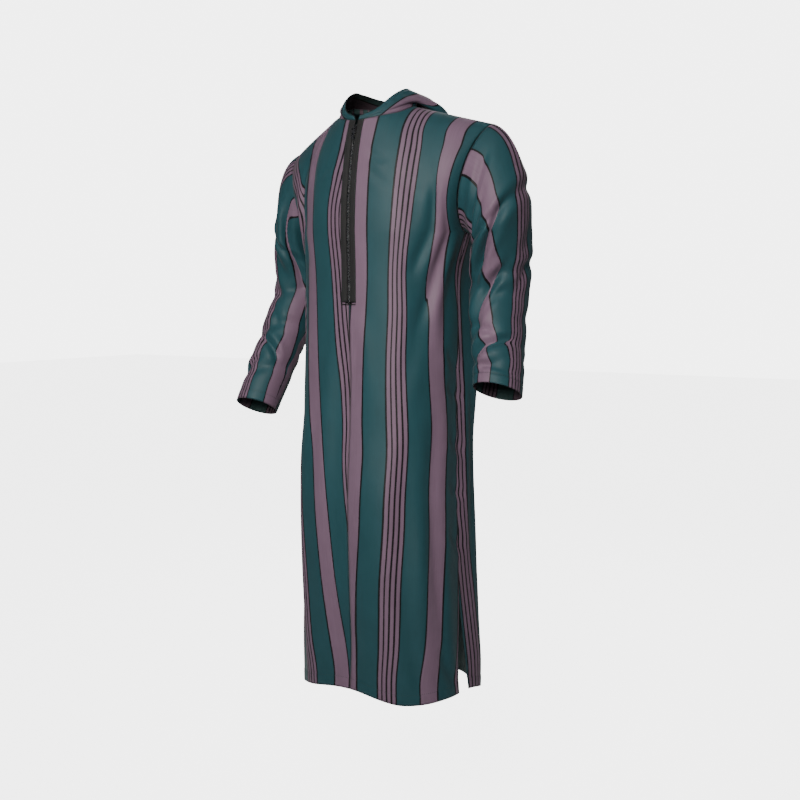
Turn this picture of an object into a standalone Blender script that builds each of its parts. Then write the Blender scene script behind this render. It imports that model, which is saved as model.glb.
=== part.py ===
# Long striped robe with a hood that is worn down, and a half zip.
# The cloth keeps the hollow form that it has when it is worn.
# Metres, +Z up, +X is the wearer's left, the front faces -Y.
# The origin lies between the shoulders, at the height of the side of the neck.
import math
from collections import namedtuple

import bmesh
import bpy
import numpy as np
from mathutils import Matrix, Vector

# Cloth and seams
WALL = 0.002
SEAM_GAP = 0.0003
LAY_GAP = 0.0003

# Levels of the robe
HEM_LEVEL = -1.162
SLIT_TOP_LEVEL = -0.955
UNDERARM_LEVEL = -0.240
ZIP_FOOT_LEVEL = -0.380

# How many faces each piece takes
NECK_COLUMNS = 8
SHOULDER_COLUMNS = 7
SKIRT_ROWS = 19
YOKE_ROWS = 9
CAP_RINGS = 6
ARM_RINGS = 12
HOOD_ROWS = 14

COLUMNS = NECK_COLUMNS + SHOULDER_COLUMNS
NECK_SHARE = NECK_COLUMNS / COLUMNS
FOOT_ROW_STEP = 0.001

# Sections through the body: a half width each side, and depths from the middle
Section = namedtuple("Section", "level left right front back")
SECTIONS = [
    Section(-1.170, 0.182, 0.181, 0.148, 0.166),
    Section(-1.070, 0.179, 0.181, 0.149, 0.152),
    Section(-0.910, 0.173, 0.184, 0.157, 0.134),
    Section(-0.770, 0.169, 0.186, 0.160, 0.122),
    Section(-0.600, 0.168, 0.184, 0.156, 0.116),
    Section(-0.420, 0.167, 0.177, 0.149, 0.110),
    Section(-0.320, 0.167, 0.172, 0.149, 0.113),
    Section(-0.240, 0.180, 0.180, 0.152, 0.119),
]
SECTION_POWER = 0.87

# Height of the hem round the body, by bearing from the centre front
HemPoint = namedtuple("HemPoint", "bearing rise")
HEM_POINTS = [
    HemPoint(-180.0, -0.008),
    HemPoint(-100.0, -0.010),
    HemPoint(-60.0, -0.006),
    HemPoint(-30.0, 0.006),
    HemPoint(0.0, 0.014),
    HemPoint(35.0, -0.006),
    HemPoint(90.0, 0.002),
    HemPoint(120.0, -0.009),
    HemPoint(180.0, -0.008),
]

# The slit at each side, opened by degrees of bearing at the hem
SLIT_FRONT_OPEN = 5.0
SLIT_BACK_OPEN = 5.0
SLIT_CURVE = 3

# Neck opening, and the bearing at which the shoulder seam meets it
NECK_HALF_WIDTH = 0.080
NECK_HALF_DEPTH = 0.075
NECK_CENTRE_Y = -0.045
NECK_SIDE_BEARING = 100.0
NeckPoint = namedtuple("NeckPoint", "bearing left right")
NECK_LEVELS = [
    NeckPoint(0.0, -0.020, -0.020),
    NeckPoint(60.0, -0.004, -0.006),
    NeckPoint(100.0, 0.012, 0.006),
    NeckPoint(180.0, 0.008, 0.008),
]

# Shoulder tips, where the sleeves are sewn on
SHOULDER_TIP = {1: (0.236, 0.004, -0.028), -1: (-0.229, 0.004, -0.064)}
ARMHOLE_DEPTH = {"front": 0.062, "back": 0.066}
ARMHOLE_SCOOP = 0.006
ARMHOLE_REACH = 0.45
ARMHOLE_POINT = 0.35
ARMHOLE_BLEND_FROM = 0.86

# How far round the cloth turns by the time it reaches the neck or shoulder
TURN_AT_CENTRE = {"front": 50.0, "back": 78.0}
TURN_AT_SHOULDER = 88.0

# Largest folds of the body. Bearings are from the centre front, + to the left
Fold = namedtuple("Fold", "bearing_top bearing_low top low depth width")
FOLDS = [
    Fold(-2.0, -4.0, -0.400, -1.200, -0.011, 12.0),
    Fold(14.0, 30.0, -0.620, -1.250, 0.011, 20.0),
    Fold(-34.0, -30.0, -0.560, -1.250, 0.007, 17.0),
    Fold(60.0, 62.0, -0.250, -0.900, -0.007, 14.0),
    Fold(-66.0, -60.0, -0.360, -1.100, -0.006, 15.0),
    Fold(86.0, 92.0, -0.420, -1.250, -0.009, 11.0),
    Fold(118.0, 112.0, -0.400, -1.250, 0.010, 13.0),
    Fold(150.0, 142.0, -0.160, -1.250, -0.012, 12.0),
    Fold(178.0, 172.0, -0.300, -1.250, 0.009, 15.0),
    Fold(208.0, 214.0, -0.160, -1.250, -0.012, 12.0),
    Fold(240.0, 246.0, -0.420, -1.250, 0.009, 13.0),
    Fold(40.0, 52.0, -0.100, -0.330, -0.006, 10.0),
    Fold(-38.0, -50.0, -0.090, -0.340, -0.006, 10.0),
]
FOLD_FADE = 0.16
YOKE_FADE_FROM = 0.45
YOKE_FADE_TO = 0.92

# Rings down each sleeve: centre, half sizes, and how the ring leans
Ring = namedtuple("Ring", "level out back wide deep tilt roll")
SLEEVE_RINGS = {
    1: [
        Ring(-0.245, 0.258, 0.010, 0.056, 0.072, 0.0, 24.0),
        Ring(-0.330, 0.244, 0.036, 0.052, 0.066, 0.0, 4.0),
        Ring(-0.425, 0.249, 0.016, 0.050, 0.061, 12.0, 0.0),
        Ring(-0.498, 0.261, -0.010, 0.049, 0.056, 20.0, 0.0),
        Ring(-0.550, 0.269, -0.030, 0.047, 0.052, 24.0, 0.0),
    ],
    -1: [
        Ring(-0.262, 0.255, 0.012, 0.055, 0.070, 0.0, 24.0),
        Ring(-0.345, 0.252, 0.034, 0.052, 0.064, 4.0, 4.0),
        Ring(-0.430, 0.258, -0.004, 0.050, 0.058, 18.0, 0.0),
        Ring(-0.515, 0.266, -0.050, 0.046, 0.052, 24.0, 0.0),
        Ring(-0.600, 0.275, -0.094, 0.042, 0.047, 26.0, 0.0),
    ],
}
CAP_LEAVE_TOP = (1.0, 0.0, -0.30)
CAP_LEAVE_LOW = (1.0, 0.0, -0.20)
CAP_PULL_TOP = 1.0
CAP_PULL_LOW = 1.1
CAP_ARRIVE_STEP = 0.06

# Creases across a sleeve: place along it, bearing, slant, depth and width
Crease = namedtuple("Crease", "along bearing slant depth width")
SLEEVE_CREASES = [
    Crease(0.30, 250.0, 0.05, -0.005, 0.045),
    Crease(0.42, 60.0, -0.05, -0.004, 0.040),
    Crease(0.56, 270.0, 0.06, -0.006, 0.040),
    Crease(0.66, 120.0, -0.05, -0.005, 0.040),
    Crease(0.80, 240.0, 0.05, -0.005, 0.035),
]

# Ribs of the hood: how far it hangs down the back, how full it is, and its rim
Rib = namedtuple("Rib", "bearing hang puff rim_out rim_y rim_level")
HOOD_RIBS = [
    Rib(0.0, 0.000, 0.000, 0.003, -0.121, -0.012),
    Rib(30.0, 0.000, 0.002, 0.036, -0.104, 0.004),
    Rib(60.0, 0.000, 0.006, 0.055, -0.074, 0.032),
    Rib(85.0, 0.000, 0.012, 0.060, -0.036, 0.048),
    Rib(100.0, 0.000, 0.020, 0.059, -0.012, 0.047),
    Rib(112.0, 0.022, 0.024, 0.056, 0.008, 0.045),
    Rib(128.0, 0.075, 0.030, 0.052, 0.028, 0.042),
    Rib(150.0, 0.190, 0.032, 0.034, 0.058, 0.037),
    Rib(180.0, 0.290, 0.034, 0.000, 0.078, 0.036),
]
HOOD_LIFT = 0.006
HOOD_STAND = 0.010
HOOD_FRONT_STAND = 0.2
HOOD_FRONT_TURNS = (0.35, 0.6, 0.8)
HOOD_STAND_OUT = 0.3
HOOD_EASE = 2
HOOD_GATHER = 0.12
HOOD_SPLAY = 0.70
HOOD_SEARCH_STEP = 0.01
HOOD_OUTWARD = (0.3, 1.0, 0.2)
CURVE_STEPS = 12

# The way of a rib down the back and up again: depth, and how far out in the hood
Turn = namedtuple("Turn", "depth out")
HOOD_TURNS = [
    Turn(0.10, 0.0),
    Turn(0.25, 0.0),
    Turn(0.45, 0.0),
    Turn(0.70, 0.0),
    Turn(0.92, 0.1),
    Turn(1.00, 0.5),
    Turn(0.92, 0.9),
    Turn(0.70, 1.0),
    Turn(0.45, 1.0),
    Turn(0.20, 0.9),
]

# Zip
ZIP_SLOT_HALF = 0.004
ZIP_TAPE_INNER = 0.0030
ZIP_TAPE_OUTER = 0.0150
ZIP_TAPE_THICK = 0.001
ZIP_TEETH_HALF = 0.0026
ZIP_TEETH_SINK = 0.0008
ZIP_TEETH_PROUD = 0.0021
END_BAR_SIZE = (0.031, 0.0045, 0.0016)
END_BAR_CLEAR = 0.0012
SLIDER_DROP = 0.016
SLIDER_PLATE = (0.009, 0.012, 0.0014)
SLIDER_POST_WIDE = 0.0026
ARCH_SPAN = 0.008
ARCH_WIDE = 0.0016
ARCH_THICK = 0.001
ARCH_ROOM = 0.0022
ARCH_POST_SHARE = 0.8
SLIDER_POST_SHARE = 0.6
PULL_THICK = 0.0012
PULL_TOP_BAR = 0.0012
PULL_WINDOW = (0.0054, 0.0052)

# Half the outline of the pull tab: half width, and how far below its axis
PULL_OUTLINE = [
    (0.0044, -0.0006),
    (0.0044, 0.0080),
    (0.00317, 0.0110),
    (0.00317, 0.0234),
    (0.00167, 0.0254),
]

# Colours as linear red, green, blue
CLOTH_COLOURS = {
    "front_left": (0.034, 0.090, 0.092),
    "front_right": (0.030, 0.080, 0.084),
    "back": (0.026, 0.070, 0.074),
    "sleeve_left": (0.190, 0.130, 0.160),
    "sleeve_right": (0.170, 0.115, 0.145),
    "hood_left": (0.040, 0.100, 0.100),
    "hood_right": (0.036, 0.092, 0.094),
}
TAPE_COLOUR = (0.016, 0.018, 0.019)
METAL_COLOUR = (0.050, 0.052, 0.055)
CLOTH_ROUGHNESS = 0.6
TAPE_ROUGHNESS = 0.85
METAL_ROUGHNESS = 0.35
METALLIC = 0.9


def smooth(value, start, end):
    t = min(max((value - start) / (end - start), 0.0), 1.0)
    return t * t * (3.0 - 2.0 * t)


def table_value(rows, at, column):
    # A smooth curve through one column, read at a value of the first column
    keys = [row[0] for row in rows]
    values = [getattr(row, column) for row in rows]
    if at <= keys[0]:
        return values[0]
    if at >= keys[-1]:
        return values[-1]
    i = max(k for k in range(len(keys) - 1) if keys[k] <= at)

    def slope(k):
        low = max(k - 1, 0)
        high = min(k + 1, len(keys) - 1)
        return (values[high] - values[low]) / (keys[high] - keys[low])

    step = keys[i + 1] - keys[i]
    t = (at - keys[i]) / step
    start = (1.0 + 2.0 * t) * (1.0 - t) ** 2 * values[i] + t * (1.0 - t) ** 2 * step * slope(i)
    end = t * t * (3.0 - 2.0 * t) * values[i + 1] - t * t * (1.0 - t) * step * slope(i + 1)
    return start + end


def section_point(side, bearing, level):
    # A point of the plain section: bearing 0 is the centre front, 180 the centre back
    half = table_value(SECTIONS, level, "left" if side > 0 else "right")
    turn = math.radians(bearing)
    x = side * half * abs(math.sin(turn)) ** SECTION_POWER
    reach = abs(math.cos(turn)) ** SECTION_POWER
    if bearing <= 90.0:
        y = -table_value(SECTIONS, level, "front") * reach
    else:
        y = table_value(SECTIONS, level, "back") * reach
    return Vector((x, y, level))


def fold_depth(side, bearing, level):
    # Sum of the folds at a place, as a move away from the middle of the body
    total = 0.0
    for fold in FOLDS:
        run = (fold.top - level) / (fold.top - fold.low)
        centre = fold.bearing_top + (fold.bearing_low - fold.bearing_top) * min(max(run, 0.0), 1.0)
        away = (side * bearing - centre + 180.0) % 360.0 - 180.0
        here = smooth(fold.top - level, 0.0, FOLD_FADE) * smooth(level - fold.low, 0.0, FOLD_FADE)
        total += fold.depth * here * math.exp(-((away / fold.width) ** 2))
    return total


def push_out(point, amount):
    outward = Vector((point.x, point.y, 0.0)).normalized()
    return point + outward * amount


def neck_point(side, bearing):
    turn = math.radians(bearing)
    column = "left" if side > 0 else "right"
    x = side * NECK_HALF_WIDTH * math.sin(turn)
    y = NECK_CENTRE_Y - NECK_HALF_DEPTH * math.cos(turn)
    return Vector((x, y, table_value(NECK_LEVELS, bearing, column)))


def neck_bearing(face, share):
    # share 0 is the centre and NECK_SHARE the shoulder seam
    start = 0.0 if face == "front" else 180.0
    return start + (NECK_SIDE_BEARING - start) * share / NECK_SHARE


def top_point(side, face, share):
    # The upper edge of a panel: the neck, then the shoulder seam
    if share <= NECK_SHARE:
        return neck_point(side, neck_bearing(face, share))
    along = (share - NECK_SHARE) / (1.0 - NECK_SHARE)
    return neck_point(side, NECK_SIDE_BEARING).lerp(Vector(SHOULDER_TIP[side]), along)


def armhole_point(side, face, rise):
    # rise 0 is the underarm and 1 the shoulder tip
    low = section_point(side, 90.0, UNDERARM_LEVEL)
    turn = math.pi * rise
    along = (1.0 - ARMHOLE_POINT) * (1.0 - math.cos(turn)) / 2.0 + ARMHOLE_POINT * rise
    point = low.lerp(Vector(SHOULDER_TIP[side]), along)
    depth = ARMHOLE_DEPTH[face] * math.sin(turn)
    point.y += -depth if face == "front" else depth
    point.x -= side * ARMHOLE_SCOOP * math.sin(turn)
    return point


def yoke_base(side, face, share, rise):
    # An arc from the section at the underarm level up to the neck or shoulder
    bearing = 90.0 * share if face == "front" else 180.0 - 90.0 * share
    low = section_point(side, bearing, UNDERARM_LEVEL)
    high = top_point(side, face, share)
    ease = min(share / NECK_SHARE, 1.0)
    end = TURN_AT_CENTRE[face] + (TURN_AT_SHOULDER - TURN_AT_CENTRE[face]) * ease
    end = math.radians(end)
    turn = end * rise
    across = (1.0 - math.cos(turn)) / (1.0 - math.cos(end))
    up = math.sin(turn) / math.sin(end)
    point = low.lerp(high, across)
    point.z = low.z + (high.z - low.z) * up
    return point


def body_point(side, face, share, height):
    # height 0 is the hem, 1 the underarm level and 2 the neck or shoulder
    reach = smooth(share, ARMHOLE_REACH, 1.0)
    if height <= 1.0:
        bearing = 90.0 * share if face == "front" else 180.0 - 90.0 * share
        hem = HEM_LEVEL + table_value(HEM_POINTS, side * bearing, "rise")
        level = hem + (UNDERARM_LEVEL - hem) * height
        slit = smooth(SLIT_TOP_LEVEL - level, 0.0, SLIT_TOP_LEVEL - HEM_LEVEL)
        if face == "front":
            bearing -= SLIT_FRONT_OPEN * slit * share ** SLIT_CURVE
        else:
            bearing += SLIT_BACK_OPEN * slit * share ** SLIT_CURVE
        point = section_point(side, bearing, level)
        keep = 1.0 - reach * smooth(height, ARMHOLE_BLEND_FROM, 1.0)
        return push_out(point, fold_depth(side, bearing, level) * keep)
    rise = height - 1.0
    point = yoke_base(side, face, share, rise)
    point += reach * (armhole_point(side, face, rise) - yoke_base(side, face, 1.0, rise))
    bearing = 90.0 * share if face == "front" else 180.0 - 90.0 * share
    keep = (1.0 - reach) * (1.0 - smooth(rise, YOKE_FADE_FROM, YOKE_FADE_TO))
    return push_out(point, fold_depth(side, bearing, point.z) * keep)


def panel_heights():
    # Rows from hem to shoulder, with two rows close together at the foot of the zip
    hem = HEM_LEVEL + table_value(HEM_POINTS, 0.0, "rise")
    foot = (ZIP_FOOT_LEVEL - hem) / (UNDERARM_LEVEL - hem)
    below = round(SKIRT_ROWS * foot)
    skirt = list(np.linspace(0.0, foot - FOOT_ROW_STEP, below))
    skirt += list(np.linspace(foot + FOOT_ROW_STEP, 1.0, SKIRT_ROWS - below + 2))
    yoke = list(np.linspace(1.0, 2.0, YOKE_ROWS + 1))[1:]
    return skirt + yoke, below


HEIGHTS, ZIP_FOOT_ROW = panel_heights()


def column_shares():
    # Even columns, with one that falls exactly on the shoulder seam's end
    return [column / COLUMNS for column in range(COLUMNS + 1)]


def slot_share():
    # Where a front's edge runs beside the zip, as a share of the panel's width
    turn = math.degrees(math.asin(ZIP_SLOT_HALF / NECK_HALF_WIDTH))
    return turn / NECK_SIDE_BEARING * NECK_SHARE


def front_panel(side):
    rows = []
    for number, height in enumerate(HEIGHTS):
        row = [body_point(side, "front", share, height) for share in column_shares()]
        if number >= ZIP_FOOT_ROW:
            row[0] = body_point(side, "front", slot_share(), height)
        rows.append(row)
    return rows


def back_panel():
    rows = []
    for height in HEIGHTS:
        right = [body_point(-1, "back", share, height) for share in reversed(column_shares())]
        left = [body_point(1, "back", share, height) for share in column_shares()[1:]]
        rows.append(right + left)
    return rows


def armhole_loop(side):
    # From the underarm up the front to the shoulder tip, and down the back
    rises = [height - 1.0 for height in HEIGHTS if height >= 1.0]
    front = [armhole_point(side, "front", rise) for rise in rises]
    back = [armhole_point(side, "back", rise) for rise in reversed(rises)]
    return front + back[1:-1]


def ring_point(side, ring, bearing):
    # bearing 180 is the inside of the arm, 270 the front, 0 the outside and 90 the back
    turn = math.radians(bearing)
    place = Vector((ring.wide * math.cos(turn), ring.deep * math.sin(turn), 0.0))
    lean = Matrix.Rotation(math.radians(-ring.tilt), 3, "X") @ Matrix.Rotation(
        math.radians(-ring.roll), 3, "Y"
    )
    place = lean @ place
    return Vector((side * (ring.out + place.x), ring.back + place.y, ring.level + place.z))


def sleeve_crease(along, bearing):
    total = 0.0
    for crease in SLEEVE_CREASES:
        away = math.radians(bearing - crease.bearing)
        centre = crease.along + crease.slant * math.sin(away)
        near = math.exp(-(((along - centre) / crease.width) ** 2))
        total += crease.depth * near * (0.5 + 0.5 * math.cos(away))
    return total


def arm_ring(side, along):
    # A ring of the sleeve below the cap: along 0 is the upper arm and 1 the cuff
    rings = SLEEVE_RINGS[side]
    rows = [(place / (len(rings) - 1),) + tuple(ring) for place, ring in enumerate(rings)]
    Placed = namedtuple("Placed", ("place",) + Ring._fields)
    rows = [Placed(*row) for row in rows]
    return Ring(*(table_value(rows, along, column) for column in Ring._fields))


def sleeve_tube(side):
    loop = armhole_loop(side)
    count = len(loop)
    half = count / 2.0
    bearings = [(180.0 + 180.0 * number / half) % 360.0 for number in range(count)]
    upper = arm_ring(side, 0.0)
    below = arm_ring(side, CAP_ARRIVE_STEP)
    columns = []
    for start, bearing in zip(loop, bearings):
        high = (1.0 + math.cos(math.radians(bearing))) / 2.0
        leave = Vector(CAP_LEAVE_LOW).lerp(Vector(CAP_LEAVE_TOP), high).normalized()
        leave.x *= side
        end = ring_point(side, upper, bearing)
        arrive = (ring_point(side, below, bearing) - end).normalized()
        pull = (end - start).length * (CAP_PULL_LOW + (CAP_PULL_TOP - CAP_PULL_LOW) * high)
        column = []
        for number in range(CAP_RINGS):
            t = number / CAP_RINGS
            point = start * ((1.0 + 2.0 * t) * (1.0 - t) ** 2)
            point += leave * (pull * t * (1.0 - t) ** 2)
            point += end * (t * t * (3.0 - 2.0 * t))
            point -= arrive * (pull * t * t * (1.0 - t))
            column.append(point)
        for number in range(ARM_RINGS + 1):
            along = number / ARM_RINGS
            ring = arm_ring(side, along)
            fold = sleeve_crease(along, bearing)
            ring = ring._replace(wide=ring.wide + fold, deep=ring.deep + fold)
            column.append(ring_point(side, ring, bearing))
        columns.append(column)
    return [list(row) for row in zip(*columns)]


def even_steps(controls, turn, steps):
    # Even steps along a smooth curve, half of them on each side of one control point
    Place = namedtuple("Place", "at x y z")
    rows = [Place(float(number), *point) for number, point in enumerate(controls)]
    last = len(controls) - 1
    fine = np.linspace(0.0, last, CURVE_STEPS * last + 1)
    line = np.array([[table_value(rows, at, column) for column in "xyz"] for at in fine])
    run = np.concatenate([[0.0], np.cumsum(np.linalg.norm(np.diff(line, axis=0), axis=1))])
    middle = run[CURVE_STEPS * turn]
    half = steps // 2
    marks = list(np.linspace(0.0, middle, half + 1))
    marks += list(np.linspace(middle, run[-1], steps - half + 1))[1:]
    return [Vector([np.interp(mark, run, line[:, axis]) for axis in range(3)]) for mark in marks]


def back_point_at(side, share, drop):
    # A point of the back panel, a distance below the neck, and the way out from it
    step = HOOD_SEARCH_STEP
    height = 2.0
    top = body_point(side, "back", share, height)
    while height > 0.0 and top.z - body_point(side, "back", share, height).z < drop:
        height -= step
    point = body_point(side, "back", share, height)
    along = body_point(side, "back", share + step, height) - point
    if share == 0.0:
        along = Vector((side, 0.0, 0.0))
    up = body_point(side, "back", share, min(height + step, 2.0))
    up = up - body_point(side, "back", share, height - step)
    outward = along.cross(up).normalized()
    if outward.dot(Vector(HOOD_OUTWARD) * Vector((point.x, 1.0, 1.0))) < 0.0:
        outward = -outward
    return point, outward


def hood_rib(side, face, share):
    # From the neck seam down the back, round the foot of the hood and up to its rim
    bearing = neck_bearing(face, share)
    seam = top_point(side, face, share)
    rim = Vector(
        (
            side * table_value(HOOD_RIBS, bearing, "rim_out"),
            table_value(HOOD_RIBS, bearing, "rim_y"),
            table_value(HOOD_RIBS, bearing, "rim_level"),
        )
    )
    puff = table_value(HOOD_RIBS, bearing, "puff")
    hang = table_value(HOOD_RIBS, bearing, "hang")
    away = Vector((seam.x, seam.y - NECK_CENTRE_Y, 0.0)).normalized()
    if face == "front" or hang == 0.0:
        stand = seam.lerp(rim, HOOD_FRONT_STAND)
        controls = [stand]
        for t in HOOD_FRONT_TURNS:
            controls.append(seam.lerp(rim, t) + away * puff * math.sin(math.pi * t))
        turn = len(HOOD_FRONT_TURNS) - 1
    else:
        stand = seam + Vector((0.0, 0.0, HOOD_STAND)) + away * HOOD_STAND * HOOD_STAND_OUT
        controls = [stand]
        splay = HOOD_SPLAY * (share / NECK_SHARE) ** 3 - HOOD_GATHER
        for bend in HOOD_TURNS:
            column = share * (1.0 + splay * bend.depth)
            point, outward = back_point_at(side, column, hang * bend.depth)
            controls.append(point + outward * (HOOD_LIFT + bend.out * puff))
        turn = 1 + max(range(len(HOOD_TURNS)), key=lambda number: HOOD_TURNS[number].depth)
    controls.append(rim)
    if share == 0.0 and face == "back":
        for point in controls:
            point.x = 0.0
    return [seam] + even_steps(controls, turn, HOOD_ROWS)


def hood_half(side):
    shares = column_shares()[: NECK_COLUMNS + 1]
    ribs = [hood_rib(side, "front", slot_share())]
    ribs += [hood_rib(side, "front", share) for share in shares[1:]]
    ribs += [hood_rib(side, "back", share) for share in reversed(shares[:-1])]
    return even_out([list(row) for row in zip(*ribs)])


def even_out(rows):
    # Ease the kinks of the hood, and leave its edges where they are
    grid = [[point.copy() for point in row] for row in rows]
    for _ in range(HOOD_EASE):
        before = [[point.copy() for point in row] for row in grid]
        for row in range(2, len(grid) - 1):
            for column in range(1, len(grid[row]) - 1):
                near = before[row - 1][column] + before[row + 1][column]
                near += before[row][column - 1] + before[row][column + 1]
                grid[row][column] = before[row][column].lerp(near / 4.0, 0.5)
    return grid


def grid_direction(grid, axis, wrap):
    # The mean of the directions to the points before and after, along one axis
    steps = np.diff(grid, axis=axis)
    if wrap:
        close = np.take(grid, [0], axis=axis) - np.take(grid, [-1], axis=axis)
        steps = np.concatenate([close, steps, close], axis=axis)
    else:
        first = np.take(steps, [0], axis=axis)
        last = np.take(steps, [-1], axis=axis)
        steps = np.concatenate([first, steps, last], axis=axis)
    steps /= np.linalg.norm(steps, axis=2, keepdims=True)
    count = grid.shape[axis]
    before = np.take(steps, range(count), axis=axis)
    after = np.take(steps, range(1, count + 1), axis=axis)
    return before + after


def grid_normals(grid, wrap, flip):
    # The way out of the cloth at each point of a grid of rows and columns
    normals = np.cross(grid_direction(grid, 1, wrap), grid_direction(grid, 0, False))
    normals /= np.linalg.norm(normals, axis=2, keepdims=True)
    return -normals if flip else normals


def make_cloth(rows, wrap=False, flip=False):
    grid = np.array([[tuple(point) for point in row] for row in rows])
    return {"grid": grid, "normals": grid_normals(grid, wrap, flip), "wrap": wrap}


def share_seams(pieces):
    # Points of two pieces that meet at a seam get one way out, so their walls meet too
    met = {}
    for piece in pieces:
        for spot in edge_spots(piece):
            key = tuple(int(round(value * 1e5)) for value in piece["grid"][spot])
            met.setdefault(key, []).append((piece, spot))
    for spots in met.values():
        total = sum(piece["normals"][spot] for piece, spot in spots)
        total = total / np.linalg.norm(total)
        for piece, spot in spots:
            piece["normals"][spot] = total


def edge_spots(piece):
    rows, columns = piece["grid"].shape[:2]
    spots = [(0, column) for column in range(columns)]
    spots += [(rows - 1, column) for column in range(columns)]
    if not piece["wrap"]:
        spots += [(row, 0) for row in range(1, rows - 1)]
        spots += [(row, columns - 1) for row in range(1, rows - 1)]
    return spots


def open_seams(piece):
    # Draw each edge back from its seam by half the gap, square to the edge
    grid = piece["grid"]
    rows, columns = grid.shape[:2]
    moved = grid.copy()
    for row, column in edge_spots(piece):
        before = (max(row - 1, 0), min(row + 1, rows - 1))
        beside = (max(column - 1, 0), min(column + 1, columns - 1))
        if piece["wrap"]:
            beside = (column - 1, (column + 1) % columns)
        sides = []
        if row in (0, rows - 1):
            inside = grid[1 if row == 0 else rows - 2, column]
            sides.append((inside, grid[row, beside[1]] - grid[row, beside[0]]))
        if not piece["wrap"] and column in (0, columns - 1):
            inside = grid[row, 1 if column == 0 else columns - 2]
            sides.append((inside, grid[before[1], column] - grid[before[0], column]))
        for inside, edge in sides:
            square = np.cross(piece["normals"][row, column], edge)
            square *= np.sign(np.dot(square, inside - grid[row, column])) / np.linalg.norm(square)
            moved[row, column] += square * SEAM_GAP / 2.0
    piece["grid"] = moved


def material(name, colour, roughness, metallic=0.0):
    made = bpy.data.materials.new(name)
    made.use_nodes = True
    shader = made.node_tree.nodes["Principled BSDF"]
    shader.inputs["Base Color"].default_value = (*colour, 1.0)
    shader.inputs["Roughness"].default_value = roughness
    shader.inputs["Metallic"].default_value = metallic
    made.diffuse_color = (*colour, 1.0)
    return made


def tape_material(name):
    return material(name, TAPE_COLOUR, TAPE_ROUGHNESS)


def metal_material(name):
    return material(name, METAL_COLOUR, METAL_ROUGHNESS, METALLIC)


def add_object(name, mesh, collection, finish):
    made = bpy.data.objects.new(name, mesh)
    collection.objects.link(made)
    mesh.materials.append(finish)
    return made


def split_cell(points):
    # The two triangles of a four-sided cell, split along its shorter diagonal
    first = np.linalg.norm(points[0] - points[2])
    second = np.linalg.norm(points[1] - points[3])
    return [(0, 1, 2), (0, 2, 3)] if first <= second else [(0, 1, 3), (1, 2, 3)]


def close_wall(name, outer, inner, wrap):
    # A closed wall between two like grids of points
    rows, columns = outer.shape[:2]
    bm = bmesh.new()
    sheets = []
    for grid in (outer, inner):
        sheets.append([[bm.verts.new(point) for point in row] for row in grid])
    steps = columns if wrap else columns - 1
    for row in range(rows - 1):
        for column in range(steps):
            after = (column + 1) % columns
            cell = [(row, column), (row, after), (row + 1, after), (row + 1, column)]
            # Both sides of the wall are split along the same, shorter diagonal
            for corners in split_cell([outer[spot] for spot in cell]):
                spots = [cell[corner] for corner in corners]
                bm.faces.new([sheets[0][a][b] for a, b in spots])
                bm.faces.new([sheets[1][a][b] for a, b in reversed(spots)])
    rims = [[(row, column % columns) for column in range(steps + 1)] for row in (0, rows - 1)]
    if not wrap:
        rims += [[(row, column) for row in range(rows)] for column in (0, columns - 1)]
    for rim in rims:
        for (a, b), (c, d) in zip(rim, rim[1:]):
            ring = [sheets[0][a][b], sheets[0][c][d], sheets[1][c][d], sheets[1][a][b]]
            for corners in split_cell([outer[a, b], outer[c, d], inner[c, d], inner[a, b]]):
                bm.faces.new([ring[corner] for corner in corners])
    bmesh.ops.recalc_face_normals(bm, faces=bm.faces)
    if bm.calc_volume(signed=True) < 0.0:
        bmesh.ops.reverse_faces(bm, faces=bm.faces)
    mesh = bpy.data.meshes.new(name)
    bm.to_mesh(mesh)
    bm.free()
    mesh.shade_smooth()
    return mesh


def cloth_object(name, piece, collection):
    open_seams(piece)
    outer = piece["grid"]
    inner = outer - piece["normals"] * WALL
    mesh = close_wall(name, outer, inner, piece["wrap"])
    finish = material(name + "_cloth", CLOTH_COLOURS[name], CLOTH_ROUGHNESS)
    return add_object(name, mesh, collection, finish)


def zip_rows(front):
    # The first two columns of a front beside the zip, and their way out
    outer = front["grid"][ZIP_FOOT_ROW:]
    return outer[:, 0], outer[:, 1], front["normals"][ZIP_FOOT_ROW:, 0]


def zip_tape(name, front, collection):
    # The tape is made from the front's points, moved out
    edge, second, out = zip_rows(front)
    span = np.abs(second[:, 0] - edge[:, 0])[:, None]
    strips = []
    for x in np.linspace(ZIP_TAPE_INNER, ZIP_TAPE_OUTER, 3):
        strips.append(edge + (second - edge) * (x - np.abs(edge[:, 0])[:, None]) / span)
    points = np.stack(strips, axis=1)
    ways = np.repeat(out[:, None, :], len(strips), axis=1)
    inner = points + ways * LAY_GAP
    outer = inner + ways * ZIP_TAPE_THICK
    mesh = close_wall(name, outer, inner, False)
    return add_object(name, mesh, collection, tape_material(name + "_weave"))


def zip_middle(fronts):
    # The line down the middle of the slot, foot first, and its way out
    left = zip_rows(fronts[1])
    right = zip_rows(fronts[-1])
    line = (left[0] + right[0]) / 2.0
    out = left[2] + right[2]
    return line, out / np.linalg.norm(out, axis=1, keepdims=True)


def slider_frame(fronts):
    # Place and directions of the slider: across, up the zip, and out
    line, out = zip_middle(fronts)
    top = Vector(line[-1])
    below = Vector(line[-2])
    up = (top - below).normalized()
    across = Vector((1.0, 0.0, 0.0))
    outward = across.cross(up).normalized()
    place = top - up * SLIDER_DROP
    return Matrix(
        (
            (across.x, up.x, outward.x, place.x),
            (across.y, up.y, outward.y, place.y),
            (across.z, up.z, outward.z, place.z),
            (0.0, 0.0, 0.0, 1.0),
        )
    )


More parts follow.
